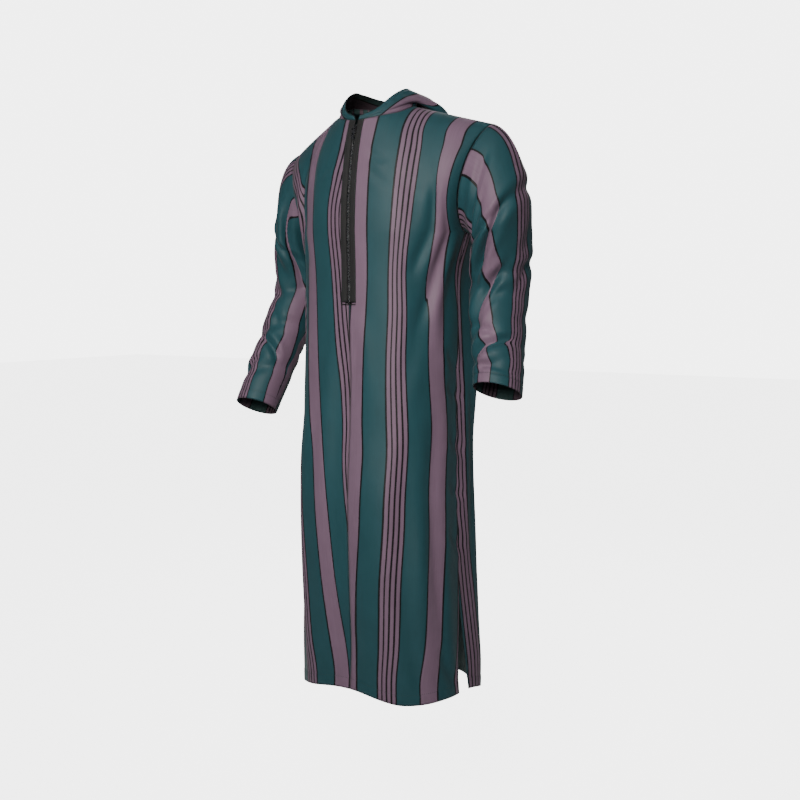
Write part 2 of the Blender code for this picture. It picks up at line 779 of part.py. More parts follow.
def zip_teeth(fronts, frame, collection):
    # The teeth run from the foot of the zip up to the slider
    line, out = zip_middle(fronts)
    end = frame @ Vector((0.0, -SLIDER_PLATE[1] / 2.0 - SEAM_GAP, 0.0))
    kept = line[:, 2] < end.z - ZIP_TEETH_HALF
    line = np.vstack([line[kept], np.array(end)[None, :]])
    out = np.vstack([out[kept], np.array(frame.to_3x3() @ Vector((0.0, 0.0, 1.0)))[None, :]])
    aside = np.array((ZIP_TEETH_HALF, 0.0, 0.0))
    strip = np.stack([line - aside, line + aside], axis=1)
    outer = strip + out[:, None, :] * ZIP_TEETH_PROUD
    inner = strip - out[:, None, :] * ZIP_TEETH_SINK
    mesh = close_wall("zip_teeth", outer, inner, False)
    return add_object("zip_teeth", mesh, collection, metal_material("zip_teeth_metal"))


def box_mesh(bm, size, place, matrix):
    # A box added to a mesh, of a size, placed in the slider's own directions
    move = matrix @ Matrix.Translation(place) @ Matrix.Diagonal((*size, 1.0))
    bmesh.ops.create_cube(bm, size=1.0, matrix=move)


def box_object(name, size, place, matrix, collection):
    bm = bmesh.new()
    box_mesh(bm, size, place, matrix)
    mesh = bpy.data.meshes.new(name)
    bm.to_mesh(mesh)
    bm.free()
    made = bpy.data.objects.new(name, mesh)
    collection.objects.link(made)
    return made


def zip_end_bar(fronts, collection):
    line, out = zip_middle(fronts)
    across = Vector((1.0, 0.0, 0.0))
    outward = Vector(out[0])
    up = outward.cross(across).normalized()
    width, tall, thick = END_BAR_SIZE
    seat = max(line[0][1], line[1][1])
    place = Vector((0.0, seat, line[0][2])) - up * (tall / 2.0 + SEAM_GAP)
    place += outward * (thick / 2.0 + LAY_GAP + END_BAR_CLEAR)
    matrix = Matrix.Translation(place) @ Matrix((across, up, outward)).transposed().to_4x4()
    bar = box_object("zip_end_bar", END_BAR_SIZE, Vector((0.0, 0.0, 0.0)), matrix, collection)
    bar.data.materials.append(tape_material("zip_end_bar_weave"))
    return bar


def zip_slider(frame, collection, cutters):
    # Two plates joined by a post between the tapes, with an arch for the pull tab
    wide, tall, thick = SLIDER_PLATE
    front = LAY_GAP + ZIP_TAPE_THICK + LAY_GAP
    rear = -WALL - LAY_GAP - thick
    slider = box_object(
        "zip_slider", SLIDER_PLATE, Vector((0.0, 0.0, front + thick / 2.0)), frame, collection
    )
    slider.data.materials.append(metal_material("zip_slider_metal"))
    arch_top = front + thick + ARCH_ROOM + ARCH_THICK
    post = (SLIDER_POST_WIDE, tall * SLIDER_POST_SHARE, front - rear)
    bar = (ARCH_WIDE, ARCH_SPAN + ARCH_THICK, ARCH_THICK)
    parts = [
        ((wide, tall, thick), (0.0, 0.0, rear + thick / 2.0)),
        (post, (0.0, 0.0, (front + rear + thick) / 2.0)),
        (bar, (0.0, 0.0, arch_top - ARCH_THICK / 2.0)),
    ]
    # The posts are a little slimmer than the bar, and end inside it and the plate
    foot = front + thick / 2.0
    head = arch_top - ARCH_THICK / 2.0
    for end in (-1.0, 1.0):
        size = (ARCH_WIDE * ARCH_POST_SHARE, ARCH_THICK * ARCH_POST_SHARE, head - foot)
        parts.append((size, (0.0, end * ARCH_SPAN / 2.0, (head + foot) / 2.0)))
    for number, (size, place) in enumerate(parts):
        tool = box_object("slider_join_%d" % number, size, Vector(place), frame, cutters)
        tool.hide_render = True
        tool.display_type = "WIRE"
        join = slider.modifiers.new("join_%d" % number, "BOOLEAN")
        join.operation = "UNION"
        join.object = tool
    return slider


def zip_pull(frame, collection):
    # A flat tab with a window, whose top bar turns under the slider's arch
    outline = bpy.data.curves.new("zip_pull", "CURVE")
    outline.dimensions = "2D"
    outline.fill_mode = "BOTH"
    outline.extrude = PULL_THICK / 2.0
    tab = [(-wide, -low) for wide, low in reversed(PULL_OUTLINE)]
    tab += [(wide, -low) for wide, low in PULL_OUTLINE]
    half = PULL_WINDOW[0] / 2.0
    high = -PULL_TOP_BAR / 2.0
    low = high - PULL_WINDOW[1]
    window = [(-half, high), (half, high), (half, low), (-half, low)]
    for points in (tab, window):
        spline = outline.splines.new("POLY")
        spline.points.add(len(points) - 1)
        spline.use_cyclic_u = True
        for spot, (x, y) in zip(spline.points, points):
            spot.co = (x, y, 0.0, 1.0)
    shape = bpy.data.objects.new("zip_pull_outline", outline)
    collection.objects.link(shape)
    depsgraph = bpy.context.evaluated_depsgraph_get()
    mesh = bpy.data.meshes.new_from_object(shape.evaluated_get(depsgraph))
    bpy.data.objects.remove(shape)
    bpy.data.curves.remove(outline)
    bm = bmesh.new()
    bm.from_mesh(mesh)
    bmesh.ops.remove_doubles(bm, verts=bm.verts, dist=1e-6)
    bmesh.ops.recalc_face_normals(bm, faces=bm.faces)
    bm.to_mesh(mesh)
    bm.free()
    mesh.name = "zip_pull"
    mesh.materials.clear()
    pull = add_object("zip_pull", mesh, collection, metal_material("zip_pull_metal"))
    axis_out = 2.0 * LAY_GAP + ZIP_TAPE_THICK + SLIDER_PLATE[2] + ARCH_ROOM / 2.0
    pull.matrix_world = frame @ Matrix.Translation((0.0, 0.0, axis_out))
    return pull


def clear_scene():
    for made in list(bpy.data.objects):
        bpy.data.objects.remove(made)


def build_robe():
    clear_scene()
    robe = bpy.data.collections.new("hooded_robe")
    cutters = bpy.data.collections.new("hooded_robe_cutters")
    bpy.context.scene.collection.children.link(robe)
    bpy.context.scene.collection.children.link(cutters)
    fronts = {side: make_cloth(front_panel(side), flip=side < 0) for side in (1, -1)}
    pieces = {
        "front_left": fronts[1],
        "front_right": fronts[-1],
        "back": make_cloth(back_panel(), flip=True),
        "sleeve_left": make_cloth(sleeve_tube(1), wrap=True, flip=True),
        "sleeve_right": make_cloth(sleeve_tube(-1), wrap=True),
        "hood_left": make_cloth(hood_half(1)),
        "hood_right": make_cloth(hood_half(-1), flip=True),
    }
    share_seams(pieces.values())
    for name, piece in pieces.items():
        cloth_object(name, piece, robe)
    frame = slider_frame(fronts)
    zip_tape("zip_tape_left", fronts[1], robe)
    zip_tape("zip_tape_right", fronts[-1], robe)
    zip_teeth(fronts, frame, robe)
    zip_end_bar(fronts, robe)
    zip_slider(frame, robe, cutters)
    zip_pull(frame, robe)


build_robe()
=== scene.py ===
# Hooded robe of striped satin twill with a half zip, its hood worn down
# Metres, +Z up, +X is the wearer's left and the front faces -Y
import math

import bmesh
import bpy
import numpy as np
from mathutils import Matrix, Vector


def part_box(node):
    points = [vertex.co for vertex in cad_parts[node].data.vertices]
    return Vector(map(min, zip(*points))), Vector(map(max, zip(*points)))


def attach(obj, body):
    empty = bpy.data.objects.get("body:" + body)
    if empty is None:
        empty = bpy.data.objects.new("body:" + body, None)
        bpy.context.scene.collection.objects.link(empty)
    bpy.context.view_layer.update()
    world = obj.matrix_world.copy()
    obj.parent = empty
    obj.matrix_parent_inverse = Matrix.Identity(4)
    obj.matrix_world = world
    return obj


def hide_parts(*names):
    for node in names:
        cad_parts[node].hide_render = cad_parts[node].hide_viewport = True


print("robe: loading the frame")
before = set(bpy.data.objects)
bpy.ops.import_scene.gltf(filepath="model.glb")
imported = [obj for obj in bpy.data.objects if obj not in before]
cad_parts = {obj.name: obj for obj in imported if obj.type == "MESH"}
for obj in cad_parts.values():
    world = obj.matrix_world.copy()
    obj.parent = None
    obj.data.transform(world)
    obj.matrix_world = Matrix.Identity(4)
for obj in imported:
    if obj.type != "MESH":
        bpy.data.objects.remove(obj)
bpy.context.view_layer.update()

# The plain form, which is the frame's own. Lengths in metres, bearings in degrees from the centre front
bodyForm = {
    "hemLevel": -1.162,
    "slitTop": -0.955,
    "underarm": -0.240,
    "zipFoot": -0.380,
    "sections": [  # level, half width left and right, depth front and back
        (-1.170, 0.182, 0.181, 0.148, 0.166),
        (-1.070, 0.179, 0.181, 0.149, 0.152),
        (-0.910, 0.173, 0.184, 0.157, 0.134),
        (-0.770, 0.169, 0.186, 0.160, 0.122),
        (-0.600, 0.168, 0.184, 0.156, 0.116),
        (-0.420, 0.167, 0.177, 0.149, 0.110),
        (-0.320, 0.167, 0.172, 0.149, 0.113),
        (-0.240, 0.180, 0.180, 0.152, 0.119),
    ],
    "power": 0.87,
    "hemRise": [  # bearing, height of the hem over its level
        (-180, -0.008), (-100, -0.010), (-60, -0.006), (-30, 0.006), (0, 0.014),
        (35, -0.006), (90, 0.002), (120, -0.009), (180, -0.008),
    ],
    "slitOpen": 5.0,
    "slitCurve": 3,
    "neckHalf": (0.080, 0.075),
    "neckCentre": -0.045,
    "neckSide": 100.0,
    "neckShare": 8 / 15,
    "neckLevels": [(0, -0.020, -0.020), (60, -0.004, -0.006), (100, 0.012, 0.006), (180, 0.008, 0.008)],
    "shoulderTip": {1: (0.236, 0.004, -0.028), -1: (-0.229, 0.004, -0.064)},
    "armholeDepth": {"front": 0.062, "back": 0.066},
    "armholeScoop": 0.006,
    "armholeReach": 0.45,
    "armholePoint": 0.35,
    "blendFrom": 0.86,
    "turnAtCentre": {"front": 50.0, "back": 78.0},
    "turnAtShoulder": 88.0,
    "folds": [  # bearing at the top and at the foot, top, foot, depth, width in degrees
        (-2, -4, -0.400, -1.200, -0.011, 12), (14, 30, -0.620, -1.250, 0.011, 20),
        (-34, -30, -0.560, -1.250, 0.007, 17), (60, 62, -0.250, -0.900, -0.007, 14),
        (-66, -60, -0.360, -1.100, -0.006, 15), (86, 92, -0.420, -1.250, -0.009, 11),
        (118, 112, -0.400, -1.250, 0.010, 13), (150, 142, -0.160, -1.250, -0.012, 12),
        (178, 172, -0.300, -1.250, 0.009, 15), (208, 214, -0.160, -1.250, -0.012, 12),
        (240, 246, -0.420, -1.250, 0.009, 13), (40, 52, -0.100, -0.330, -0.006, 10),
        (-38, -50, -0.090, -0.340, -0.006, 10),
    ],
    "foldFade": 0.16,
    "yokeFade": (0.45, 0.92),
}

# Smaller creases of the body: from bearing and level, to bearing and level, depth, width.
# A tuck is how much cloth the crease takes in, so the stripes break across it. Where a last "seam" stands, all of
# it is taken from the side towards the seam.
bodyCreases = [
    (63, -0.150, 43, -0.330, -0.0055, 0.015, 0.006),
    (72, -0.215, 50, -0.430, -0.0045, 0.014, 0.004),
    (50, -0.300, 38, -0.560, -0.0030, 0.022, 0.0),
    (80, -0.250, 66, -0.470, 0.0040, 0.016, 0.0),
    (-60, -0.130, -44, -0.300, -0.0060, 0.015, 0.008),
    (-72, -0.200, -52, -0.400, -0.0050, 0.014, 0.005),
    (-80, -0.260, -66, -0.500, 0.0040, 0.016, 0.0),
    (10, -0.082, 24, -0.104, -0.0016, 0.008, 0.0),
    (12, -0.120, 26, -0.150, -0.0013, 0.009, 0.0),
    (-10, -0.096, -26, -0.126, -0.0016, 0.009, 0.0),
    (30, -0.140, 52, -0.168, -0.0016, 0.014, 0.0),
    (-38, -0.015, -33, -0.170, -0.0030, 0.012, -0.030),
    (-55, -0.100, -47, -0.480, -0.0040, 0.010, -0.044, "seam"),
    (117, -0.260, 116, -0.620, 0.0115, 0.030, 0.0),
    (4, -0.400, 10, -0.560, 0.0022, 0.016, 0.0),
    (-8, -0.430, -14, -0.760, 0.0030, 0.018, 0.0),
    (24, -0.560, 30, -1.160, -0.0028, 0.028, 0.0),
    (46, -0.620, 47, -1.170, -0.0042, 0.026, 0.0),
    (58, -0.760, 56, -1.170, 0.0034, 0.022, 0.0),
    (70, -0.560, 74, -1.100, -0.0036, 0.020, 0.0),
    (-18, -0.520, -17, -1.170, -0.0030, 0.024, 0.0),
    (-48, -0.560, -44, -1.170, -0.0046, 0.026, 0.0),
    (-62, -0.700, -66, -1.170, 0.0040, 0.024, 0.0),
    (-80, -0.520, -78, -1.150, -0.0044, 0.020, 0.0),
    (78, -0.470, 92, -0.520, -0.0024, 0.010, 0.0),
    (79, -0.545, 96, -0.575, -0.0028, 0.010, 0.0),
    (82, -0.640, 100, -0.690, -0.0030, 0.011, 0.0),
    (82, -0.745, 99, -0.770, -0.0026, 0.010, 0.0),
    (80, -0.830, 97, -0.880, -0.0030, 0.012, 0.0),
    (66, -1.060, 86, -1.145, -0.0034, 0.014, 0.0),
    (40, -1.090, 60, -1.160, -0.0018, 0.014, 0.0),
    (-80, -0.600, -98, -0.640, -0.0026, 0.011, 0.0),
    (-82, -0.760, -100, -0.790, -0.0028, 0.012, 0.0),
    (104, -0.460, 103, -0.940, -0.0046, 0.016, 0.0),
    (128, -0.260, 122, -0.900, -0.0050, 0.018, 0.0),
    (134, -0.620, 132, -1.170, 0.0044, 0.020, 0.0),
    (160, -0.340, 154, -1.170, 0.0050, 0.024, 0.0),
    (168, -0.520, 164, -1.170, -0.0040, 0.020, 0.0),
    (192, -0.420, 194, -1.170, -0.0044, 0.022, 0.0),
    (202, -0.300, 206, -1.000, 0.0046, 0.022, 0.0),
    (226, -0.300, 232, -1.170, -0.0050, 0.020, 0.0),
    (256, -0.440, 254, -1.170, -0.0040, 0.018, 0.0),
    (118, -0.180, 150, -0.330, -0.0044, 0.016, 0.0),
    (124, -0.260, 152, -0.450, -0.0036, 0.018, 0.0),
    (242, -0.180, 212, -0.330, -0.0044, 0.016, 0.0),
    (238, -0.270, 210, -0.450, -0.0036, 0.018, 0.0),
    (150, -0.120, 206, -0.150, -0.0026, 0.016, 0.0),
]

sleeveForm = {
    "rings": {  # level, out, back, half width, half depth, tilt, roll
        1: [
            (-0.245, 0.258, 0.010, 0.056, 0.072, 0, 24), (-0.330, 0.244, 0.036, 0.052, 0.066, 0, 4),
            (-0.425, 0.249, 0.016, 0.050, 0.061, 12, 0), (-0.498, 0.261, -0.010, 0.049, 0.056, 20, 0),
            (-0.550, 0.269, -0.030, 0.047, 0.052, 24, 0),
        ],
        -1: [
            (-0.262, 0.255, 0.012, 0.055, 0.070, 0, 24), (-0.345, 0.252, 0.034, 0.052, 0.064, 4, 4),
            (-0.430, 0.258, -0.004, 0.050, 0.058, 18, 0), (-0.515, 0.266, -0.050, 0.046, 0.052, 24, 0),
            (-0.600, 0.275, -0.094, 0.042, 0.047, 26, 0),
        ],
    },
    "leaveTop": (1.0, 0.0, -0.30),
    "leaveLow": (1.0, 0.0, -0.20),
    "pull": (1.1, 1.0),
    "arriveStep": 0.06,
    "creases": [  # place along the arm, bearing, slant, depth, width
        (0.30, 250, 0.05, -0.005, 0.045), (0.42, 60, -0.05, -0.004, 0.040), (0.56, 270, 0.06, -0.006, 0.040),
        (0.66, 120, -0.05, -0.005, 0.040), (0.80, 240, 0.05, -0.005, 0.035),
    ],
    "fuller": {  # metres down, bearing, how far out, spread down and round
        1: [(0.34, 206, 0.0120, 0.15, 42), (0.20, 330, 0.0030, 0.08, 40)],
        -1: [(0.155, 322, -0.0280, 0.085, 52), (0.42, 210, 0.0040, 0.08, 40)],
    },
    "capRows": 44,
    "armRows": 104,
}

# Creases of a sleeve: metres down it and bearing, at both ends, depth, width, tuck
sleeveCreases = {
    1: [
        (0.030, 318, 0.120, 236, -0.0055, 0.013, -0.006),
        (0.160, 318, 0.335, 238, -0.0085, 0.012, -0.036),
        (0.292, 318, 0.470, 226, -0.0085, 0.012, -0.044),
        (0.468, 330, 0.520, 216, -0.0080, 0.010, -0.040),
        (0.080, 290, 0.210, 232, -0.0040, 0.012, 0.0),
        (0.215, 300, 0.340, 236, -0.0040, 0.011, 0.0),
        (0.350, 312, 0.465, 238, -0.0035, 0.010, 0.0),
        (0.520, 312, 0.545, 240, -0.0025, 0.009, 0.0),
        (0.060, 250, 0.190, 215, -0.0050, 0.013, 0.0),
        (0.300, 20, 0.360, 330, -0.0040, 0.012, 0.004),
        (0.210, 30, 0.290, 345, -0.0034, 0.014, 0.0),
        (0.150, 60, 0.230, 120, -0.0050, 0.016, 0.0),
        (0.240, 70, 0.330, 140, -0.0060, 0.015, 0.0),
        (0.345, 60, 0.400, 150, -0.0050, 0.014, 0.0),
        (0.120, 150, 0.240, 185, -0.0050, 0.014, 0.0),
        (0.300, 170, 0.345, 250, -0.0040, 0.013, 0.0),
    ],
    -1: [
        (0.010, 262, 0.330, 226, -0.0075, 0.012, -0.050),
        (0.060, 312, 0.190, 262, -0.0040, 0.014, 0.0),
        (0.170, 322, 0.290, 262, -0.0045, 0.014, 0.0),
        (0.290, 322, 0.375, 262, -0.0040, 0.013, 0.0),
        (0.360, 300, 0.430, 248, -0.0035, 0.012, 0.0),
        (0.455, 282, 0.505, 214, -0.0075, 0.009, -0.016),
        (0.540, 322, 0.505, 262, -0.0055, 0.009, 0.0),
        (0.300, 20, 0.350, 330, -0.0040, 0.012, 0.004),
        (0.160, 60, 0.240, 120, -0.0050, 0.016, 0.0),
        (0.260, 70, 0.340, 140, -0.0060, 0.015, 0.0),
        (0.120, 150, 0.240, 185, -0.0050, 0.014, 0.0),
        (0.410, 60, 0.450, 150, -0.0046, 0.013, 0.0),
    ],
}

hoodForm = {
    "ribs": [  # bearing, hang, puff, rim out, rim y, rim level
        (0, 0.000, 0.000, 0.003, -0.121, -0.012), (30, 0.000, 0.002, 0.036, -0.104, 0.004),
        (60, 0.000, 0.006, 0.055, -0.074, 0.032), (85, 0.000, 0.012, 0.060, -0.036, 0.048),
        (100, 0.000, 0.020, 0.059, -0.012, 0.047), (112, 0.022, 0.024, 0.056, 0.008, 0.045),
        (128, 0.075, 0.030, 0.052, 0.028, 0.042), (150, 0.190, 0.032, 0.034, 0.058, 0.037),
        (180, 0.290, 0.034, 0.000, 0.078, 0.036),
    ],
    "lift": 0.006,
    "stand": 0.010,
    "frontStand": 0.2,
    "frontTurns": (0.35, 0.6, 0.8),
    "standOut": 0.3,
    "ease": 2,
    "gather": 0.12,
    "splay": 0.70,
    "turns": [  # depth down the back, how far out in the hood
        (0.10, 0.0), (0.25, 0.0), (0.45, 0.0), (0.70, 0.0), (0.92, 0.1),
        (1.00, 0.5), (0.92, 0.9), (0.70, 1.0), (0.45, 1.0), (0.20, 0.9),
    ],
    "rows": 14,
    "columns": 8,
}

clothCut = {
    "thick": 0.0011,
    "skirtRows": 190,
    "yokeRows": 70,
    "frontColumns": 96,
    "backColumns": 78,
    "seamDip": 0.0007,
    "hemFold": 0.022,
    "cuffFold": 0.020,
}

# Stripes of the cloth, in millimetres across the repeat
stripes = {
    "repeat": [
        ("mauve", 38.0), ("line", 3.5), ("green", 50.0), ("line", 3.5),
        ("mauve", 7.5), ("line", 3.5), ("mauve", 7.5), ("line", 3.5), ("mauve", 7.5), ("line", 3.5),
        ("mauve", 7.5), ("line", 3.5), ("green", 50.0), ("line", 3.5),
    ],
    "outside": {"mauve": "#6f5a6d", "green": "#20454d", "line": "#030306"},
    "inside": {"mauve": "#4e404a", "green": "#2a4040", "line": "#0d0b10"},
}

# Where each piece is cut from the cloth: level, millimetres across the repeat at the centre, stretch, and how
# many more millimetres are hidden in the valley at the centre
cutPlace = {
    "front_left": [
        (-1.165, 17, 1.13, 6), (-1.120, 17, 1.11, 12), (-1.060, 17, 1.05, 17), (-1.010, 17, 1.02, 18),
        (-0.930, 15, 1.00, 10), (-0.810, 5, 1.01, 2), (-0.690, 0, 1.05, 0), (-0.610, 6, 1.03, 0),
        (-0.490, 1, 1.13, 0), (-0.400, -6, 1.18, 0), (-0.323, -13, 1.25, 0), (-0.209, -7, 1.08, 0),
        (-0.080, -5, 1.02, 0), (-0.036, -11, 1.10, 0), (0.020, -11, 1.10, 0),
    ],
    "front_right": [
        (-1.165, 190, 1.14, 0), (-1.120, 188, 1.14, 0), (-1.060, 177, 1.10, 0), (-0.938, 151, 1.22, 0),
        (-0.813, 136, 1.21, 0), (-0.694, 118, 1.28, 0), (-0.613, 118, 1.10, 0), (-0.493, 107, 1.04, 0),
        (-0.330, 92, 1.08, 0), (-0.205, 81, 1.09, 0), (-0.130, 98, 0.93, 0), (-0.073, 112, 0.81, 0),
        (0.020, 113, 0.80, 0),
    ],
    "back": [(-1.165, 68, 1.0, 0), (0.020, 68, 1.0, 0)],
}
sleevePlace = {  # a place round each sleeve in millimetres from its outer line, its place in the repeat, and the
    # stretch round it at metres down the sleeve
    1: ((50, 163), [(0.0, 0.85), (0.10, 0.95), (0.20, 1.20), (0.30, 1.38), (0.62, 1.38)]),
    -1: ((76, 137), [(0.0, 1.05), (0.15, 1.15), (0.30, 1.35), (0.62, 1.42)]),
}
hoodPlace = {1: 169.0, -1: 175.0}  # the same at the rim of each half of the hood


def smooth(value, start, end):
    t = np.clip((value - start) / (end - start), 0.0, 1.0)
    return t * t * (3.0 - 2.0 * t)


def linear(hexColour):
    # An sRGB hex value as linear red, green, blue and alpha
    parts = [int(hexColour[i:i + 2], 16) / 255.0 for i in (1, 3, 5)]
    return tuple(c / 12.92 if c <= 0.04045 else ((c + 0.055) / 1.055) ** 2.4 for c in parts) + (1.0,)


def curveThrough(rows, at, column):
    # A smooth curve through one column of a table, read at values of its first column
    table = np.array(rows, dtype=float)
    keys, values = table[:, 0], table[:, column]
    low = np.maximum(np.arange(len(keys)) - 1, 0)
    high = np.minimum(np.arange(len(keys)) + 1, len(keys) - 1)
    slopes = (values[high] - values[low]) / (keys[high] - keys[low])
    at = np.clip(at, keys[0], keys[-1])
    spot = np.clip(np.searchsorted(keys, at, side="right") - 1, 0, len(keys) - 2)
    step = keys[spot + 1] - keys[spot]
    t = (at - keys[spot]) / step
    here = (1 + 2 * t) * (1 - t) ** 2 * values[spot] + t * (1 - t) ** 2 * step * slopes[spot]
    there = t * t * (3 - 2 * t) * values[spot + 1] - t * t * (1 - t) * step * slopes[spot + 1]
    return here + there


def sectionPoint(side, bearing, level):
    bearing, level = np.broadcast_arrays(bearing, level)
    turn = np.radians(bearing)
    x = side * curveThrough(bodyForm["sections"], level, 1 if side > 0 else 2)
    x = x * np.abs(np.sin(turn)) ** bodyForm["power"]
    reach = np.abs(np.cos(turn)) ** bodyForm["power"]
    front = -curveThrough(bodyForm["sections"], level, 3) * reach
    back = curveThrough(bodyForm["sections"], level, 4) * reach
    return np.stack([x, np.where(bearing <= 90.0, front, back), level], axis=-1)


def foldDepth(side, bearing, level):
    total = np.zeros(np.broadcast(bearing, level).shape)
    for atTop, atFoot, top, foot, depth, width in bodyForm["folds"]:
        run = np.clip((top - level) / (top - foot), 0.0, 1.0)
        away = (side * bearing - (atTop + (atFoot - atTop) * run) + 180.0) % 360.0 - 180.0
        here = smooth(top - level, 0.0, bodyForm["foldFade"]) * smooth(level - foot, 0.0, bodyForm["foldFade"])
        total = total + depth * here * np.exp(-((away / width) ** 2))
    return total


def pushOut(points, amount):
    outward = points * np.array((1.0, 1.0, 0.0))
    length = np.linalg.norm(outward, axis=-1, keepdims=True)
    return points + outward / np.maximum(length, 1e-9) * amount[..., None]


def neckPoint(side, bearing):
    turn = np.radians(bearing)
    x = side * bodyForm["neckHalf"][0] * np.sin(turn)
    y = bodyForm["neckCentre"] - bodyForm["neckHalf"][1] * np.cos(turn)
    return np.stack([x, y, curveThrough(bodyForm["neckLevels"], bearing, 1 if side > 0 else 2)], axis=-1)


def neckBearing(face, share):
    start = 0.0 if face == "front" else 180.0
    return start + (bodyForm["neckSide"] - start) * share / bodyForm["neckShare"]


def topPoint(side, face, share):
    neck = neckPoint(side, neckBearing(face, np.minimum(share, bodyForm["neckShare"])))
    along = np.maximum(share - bodyForm["neckShare"], 0.0) / (1.0 - bodyForm["neckShare"])
    tip = np.array(bodyForm["shoulderTip"][side])
    return neck + (tip - neck) * along[..., None]


def armholePoint(side, face, rise):
    low = sectionPoint(side, 90.0, bodyForm["underarm"])
    turn = math.pi * rise
    point = bodyForm["armholePoint"]
    along = (1.0 - point) * (1.0 - np.cos(turn)) / 2.0 + point * rise
    place = low + (np.array(bodyForm["shoulderTip"][side]) - low) * along[..., None]
    depth = bodyForm["armholeDepth"][face] * np.sin(turn) * (-1.0 if face == "front" else 1.0)
    scoop = -side * bodyForm["armholeScoop"] * np.sin(turn)
    return place + np.stack([scoop, depth, np.zeros_like(depth)], axis=-1)


def yokeTurn(face, share):
    ease = np.minimum(share / bodyForm["neckShare"], 1.0)
    centre = bodyForm["turnAtCentre"][face]
    return np.radians(centre + (bodyForm["turnAtShoulder"] - centre) * ease)


def yokeAcross(face, share, rise):
    end = yokeTurn(face, share)
    return (1.0 - np.cos(end * rise)) / (1.0 - np.cos(end))


def yokeBase(side, face, share, rise):
    bearing = 90.0 * share if face == "front" else 180.0 - 90.0 * share
    low = sectionPoint(side, bearing, np.full_like(bearing, bodyForm["underarm"]))
    high = topPoint(side, face, share)
    end = yokeTurn(face, share)
    point = low + (high - low) * yokeAcross(face, share, rise)[..., None]
    point[..., 2] = low[..., 2] + (high[..., 2] - low[..., 2]) * np.sin(end * rise) / np.sin(end)
    return point


def bodyPoint(side, face, share, height):
    # height 0 is the hem, 1 the underarm level and 2 the neck or shoulder
    share, height = np.broadcast_arrays(np.asarray(share, float), np.asarray(height, float))
    reach = smooth(share, bodyForm["armholeReach"], 1.0)
    bearing = 90.0 * share if face == "front" else 180.0 - 90.0 * share
    low = np.minimum(height, 1.0)
    hem = bodyForm["hemLevel"] + curveThrough(bodyForm["hemRise"], side * bearing, 1)
    level = hem + (bodyForm["underarm"] - hem) * low
    slit = smooth(bodyForm["slitTop"] - level, 0.0, bodyForm["slitTop"] - bodyForm["hemLevel"])
    opened = bodyForm["slitOpen"] * slit * share ** bodyForm["slitCurve"]
    turned = bearing - opened if face == "front" else bearing + opened
    keep = 1.0 - reach * smooth(low, bodyForm["blendFrom"], 1.0)
    skirt = pushOut(sectionPoint(side, turned, level), foldDepth(side, turned, level) * keep)
    rise = np.maximum(height - 1.0, 0.0)
    yoke = yokeBase(side, face, share, rise)
    edge = armholePoint(side, face, rise) - yokeBase(side, face, np.ones_like(share), rise)
    yoke = yoke + reach[..., None] * edge
    keep = (1.0 - reach) * (1.0 - smooth(rise, *bodyForm["yokeFade"]))
    yoke = pushOut(yoke, foldDepth(side, bearing, yoke[..., 2]) * keep)
    return np.where((height <= 1.0)[..., None], skirt, yoke)


def creaseField(creases, across, down, columns):
    # Depth and tuck at each place of a flat pattern, from creases between two places of it
    depth = np.zeros(across.shape)
    tuck = np.zeros(across.shape)
    for crease in creases:
        start = np.array((crease[columns[0]], crease[columns[1]]))
        end = np.array((crease[columns[2]], crease[columns[3]]))
        deep, width, taken = crease[4:7]
        way = end - start
        length = np.linalg.norm(way)
        way = way / length
        aside = np.array((-way[1], way[0]))
        if aside[1] < 0.0:
            aside = -aside
        along = ((across - start[0]) * way[0] + (down - start[1]) * way[1]) / length
        off = (across - start[0]) * aside[0] + (down - start[1]) * aside[1]
        bow = 0.10 * length * np.sin(np.pi * np.clip(along, 0.0, 1.0))
        off = off - bow * np.sign(deep) * 0.5
        ends = smooth(along, -0.12, 0.28) * (1.0 - smooth(along, 0.68, 1.12))
        trough = np.exp(-((off / width) ** 2))
        ridge = np.exp(-(((off + 1.7 * width) / (1.2 * width)) ** 2))
        ridge = ridge + 0.5 * np.exp(-(((off - 1.9 * width) / (1.3 * width)) ** 2))
        depth += deep * ends * (trough - 0.55 * ridge)
        reach = 4.2 * width
        jump = np.tanh(off / (0.14 * width))
        if crease[7:]:
            tuck += taken * ends * 0.5 * (jump - 1.0)
        else:
            tuck += taken * ends * 0.5 * np.where(np.abs(off) < reach, jump - off / reach, 0.0)
    return depth, tuck


def gridDirection(grid, axis, wrap):
    steps = np.diff(grid, axis=axis)
    if wrap:
        close = np.take(grid, [0], axis=axis) - np.take(grid, [-1], axis=axis)
        steps = np.concatenate([close, steps, close], axis=axis)
    else:
        steps = np.concatenate([np.take(steps, [0], axis=axis), steps, np.take(steps, [-1], axis=axis)], axis=axis)
    steps = steps / np.maximum(np.linalg.norm(steps, axis=2, keepdims=True), 1e-9)
    count = grid.shape[axis]
    return np.take(steps, range(count), axis=axis) + np.take(steps, range(1, count + 1), axis=axis)


def gridNormals(grid, wrap, flip):
    normals = np.cross(gridDirection(grid, 1, wrap), gridDirection(grid, 0, False))
    normals = normals / np.maximum(np.linalg.norm(normals, axis=2, keepdims=True), 1e-9)
    return -normals if flip else normals


def easedNormals(normals, rounds):
    # Normals evened out over their neighbours, so that deep creases don't cross themselves
    for _ in range(rounds):
        spread = np.pad(normals, ((1, 1), (1, 1), (0, 0)), mode="edge")
        normals = spread[:-2, 1:-1] + spread[2:, 1:-1] + spread[1:-1, :-2] + spread[1:-1, 2:]
        normals = normals / np.linalg.norm(normals, axis=2, keepdims=True)
    return normals


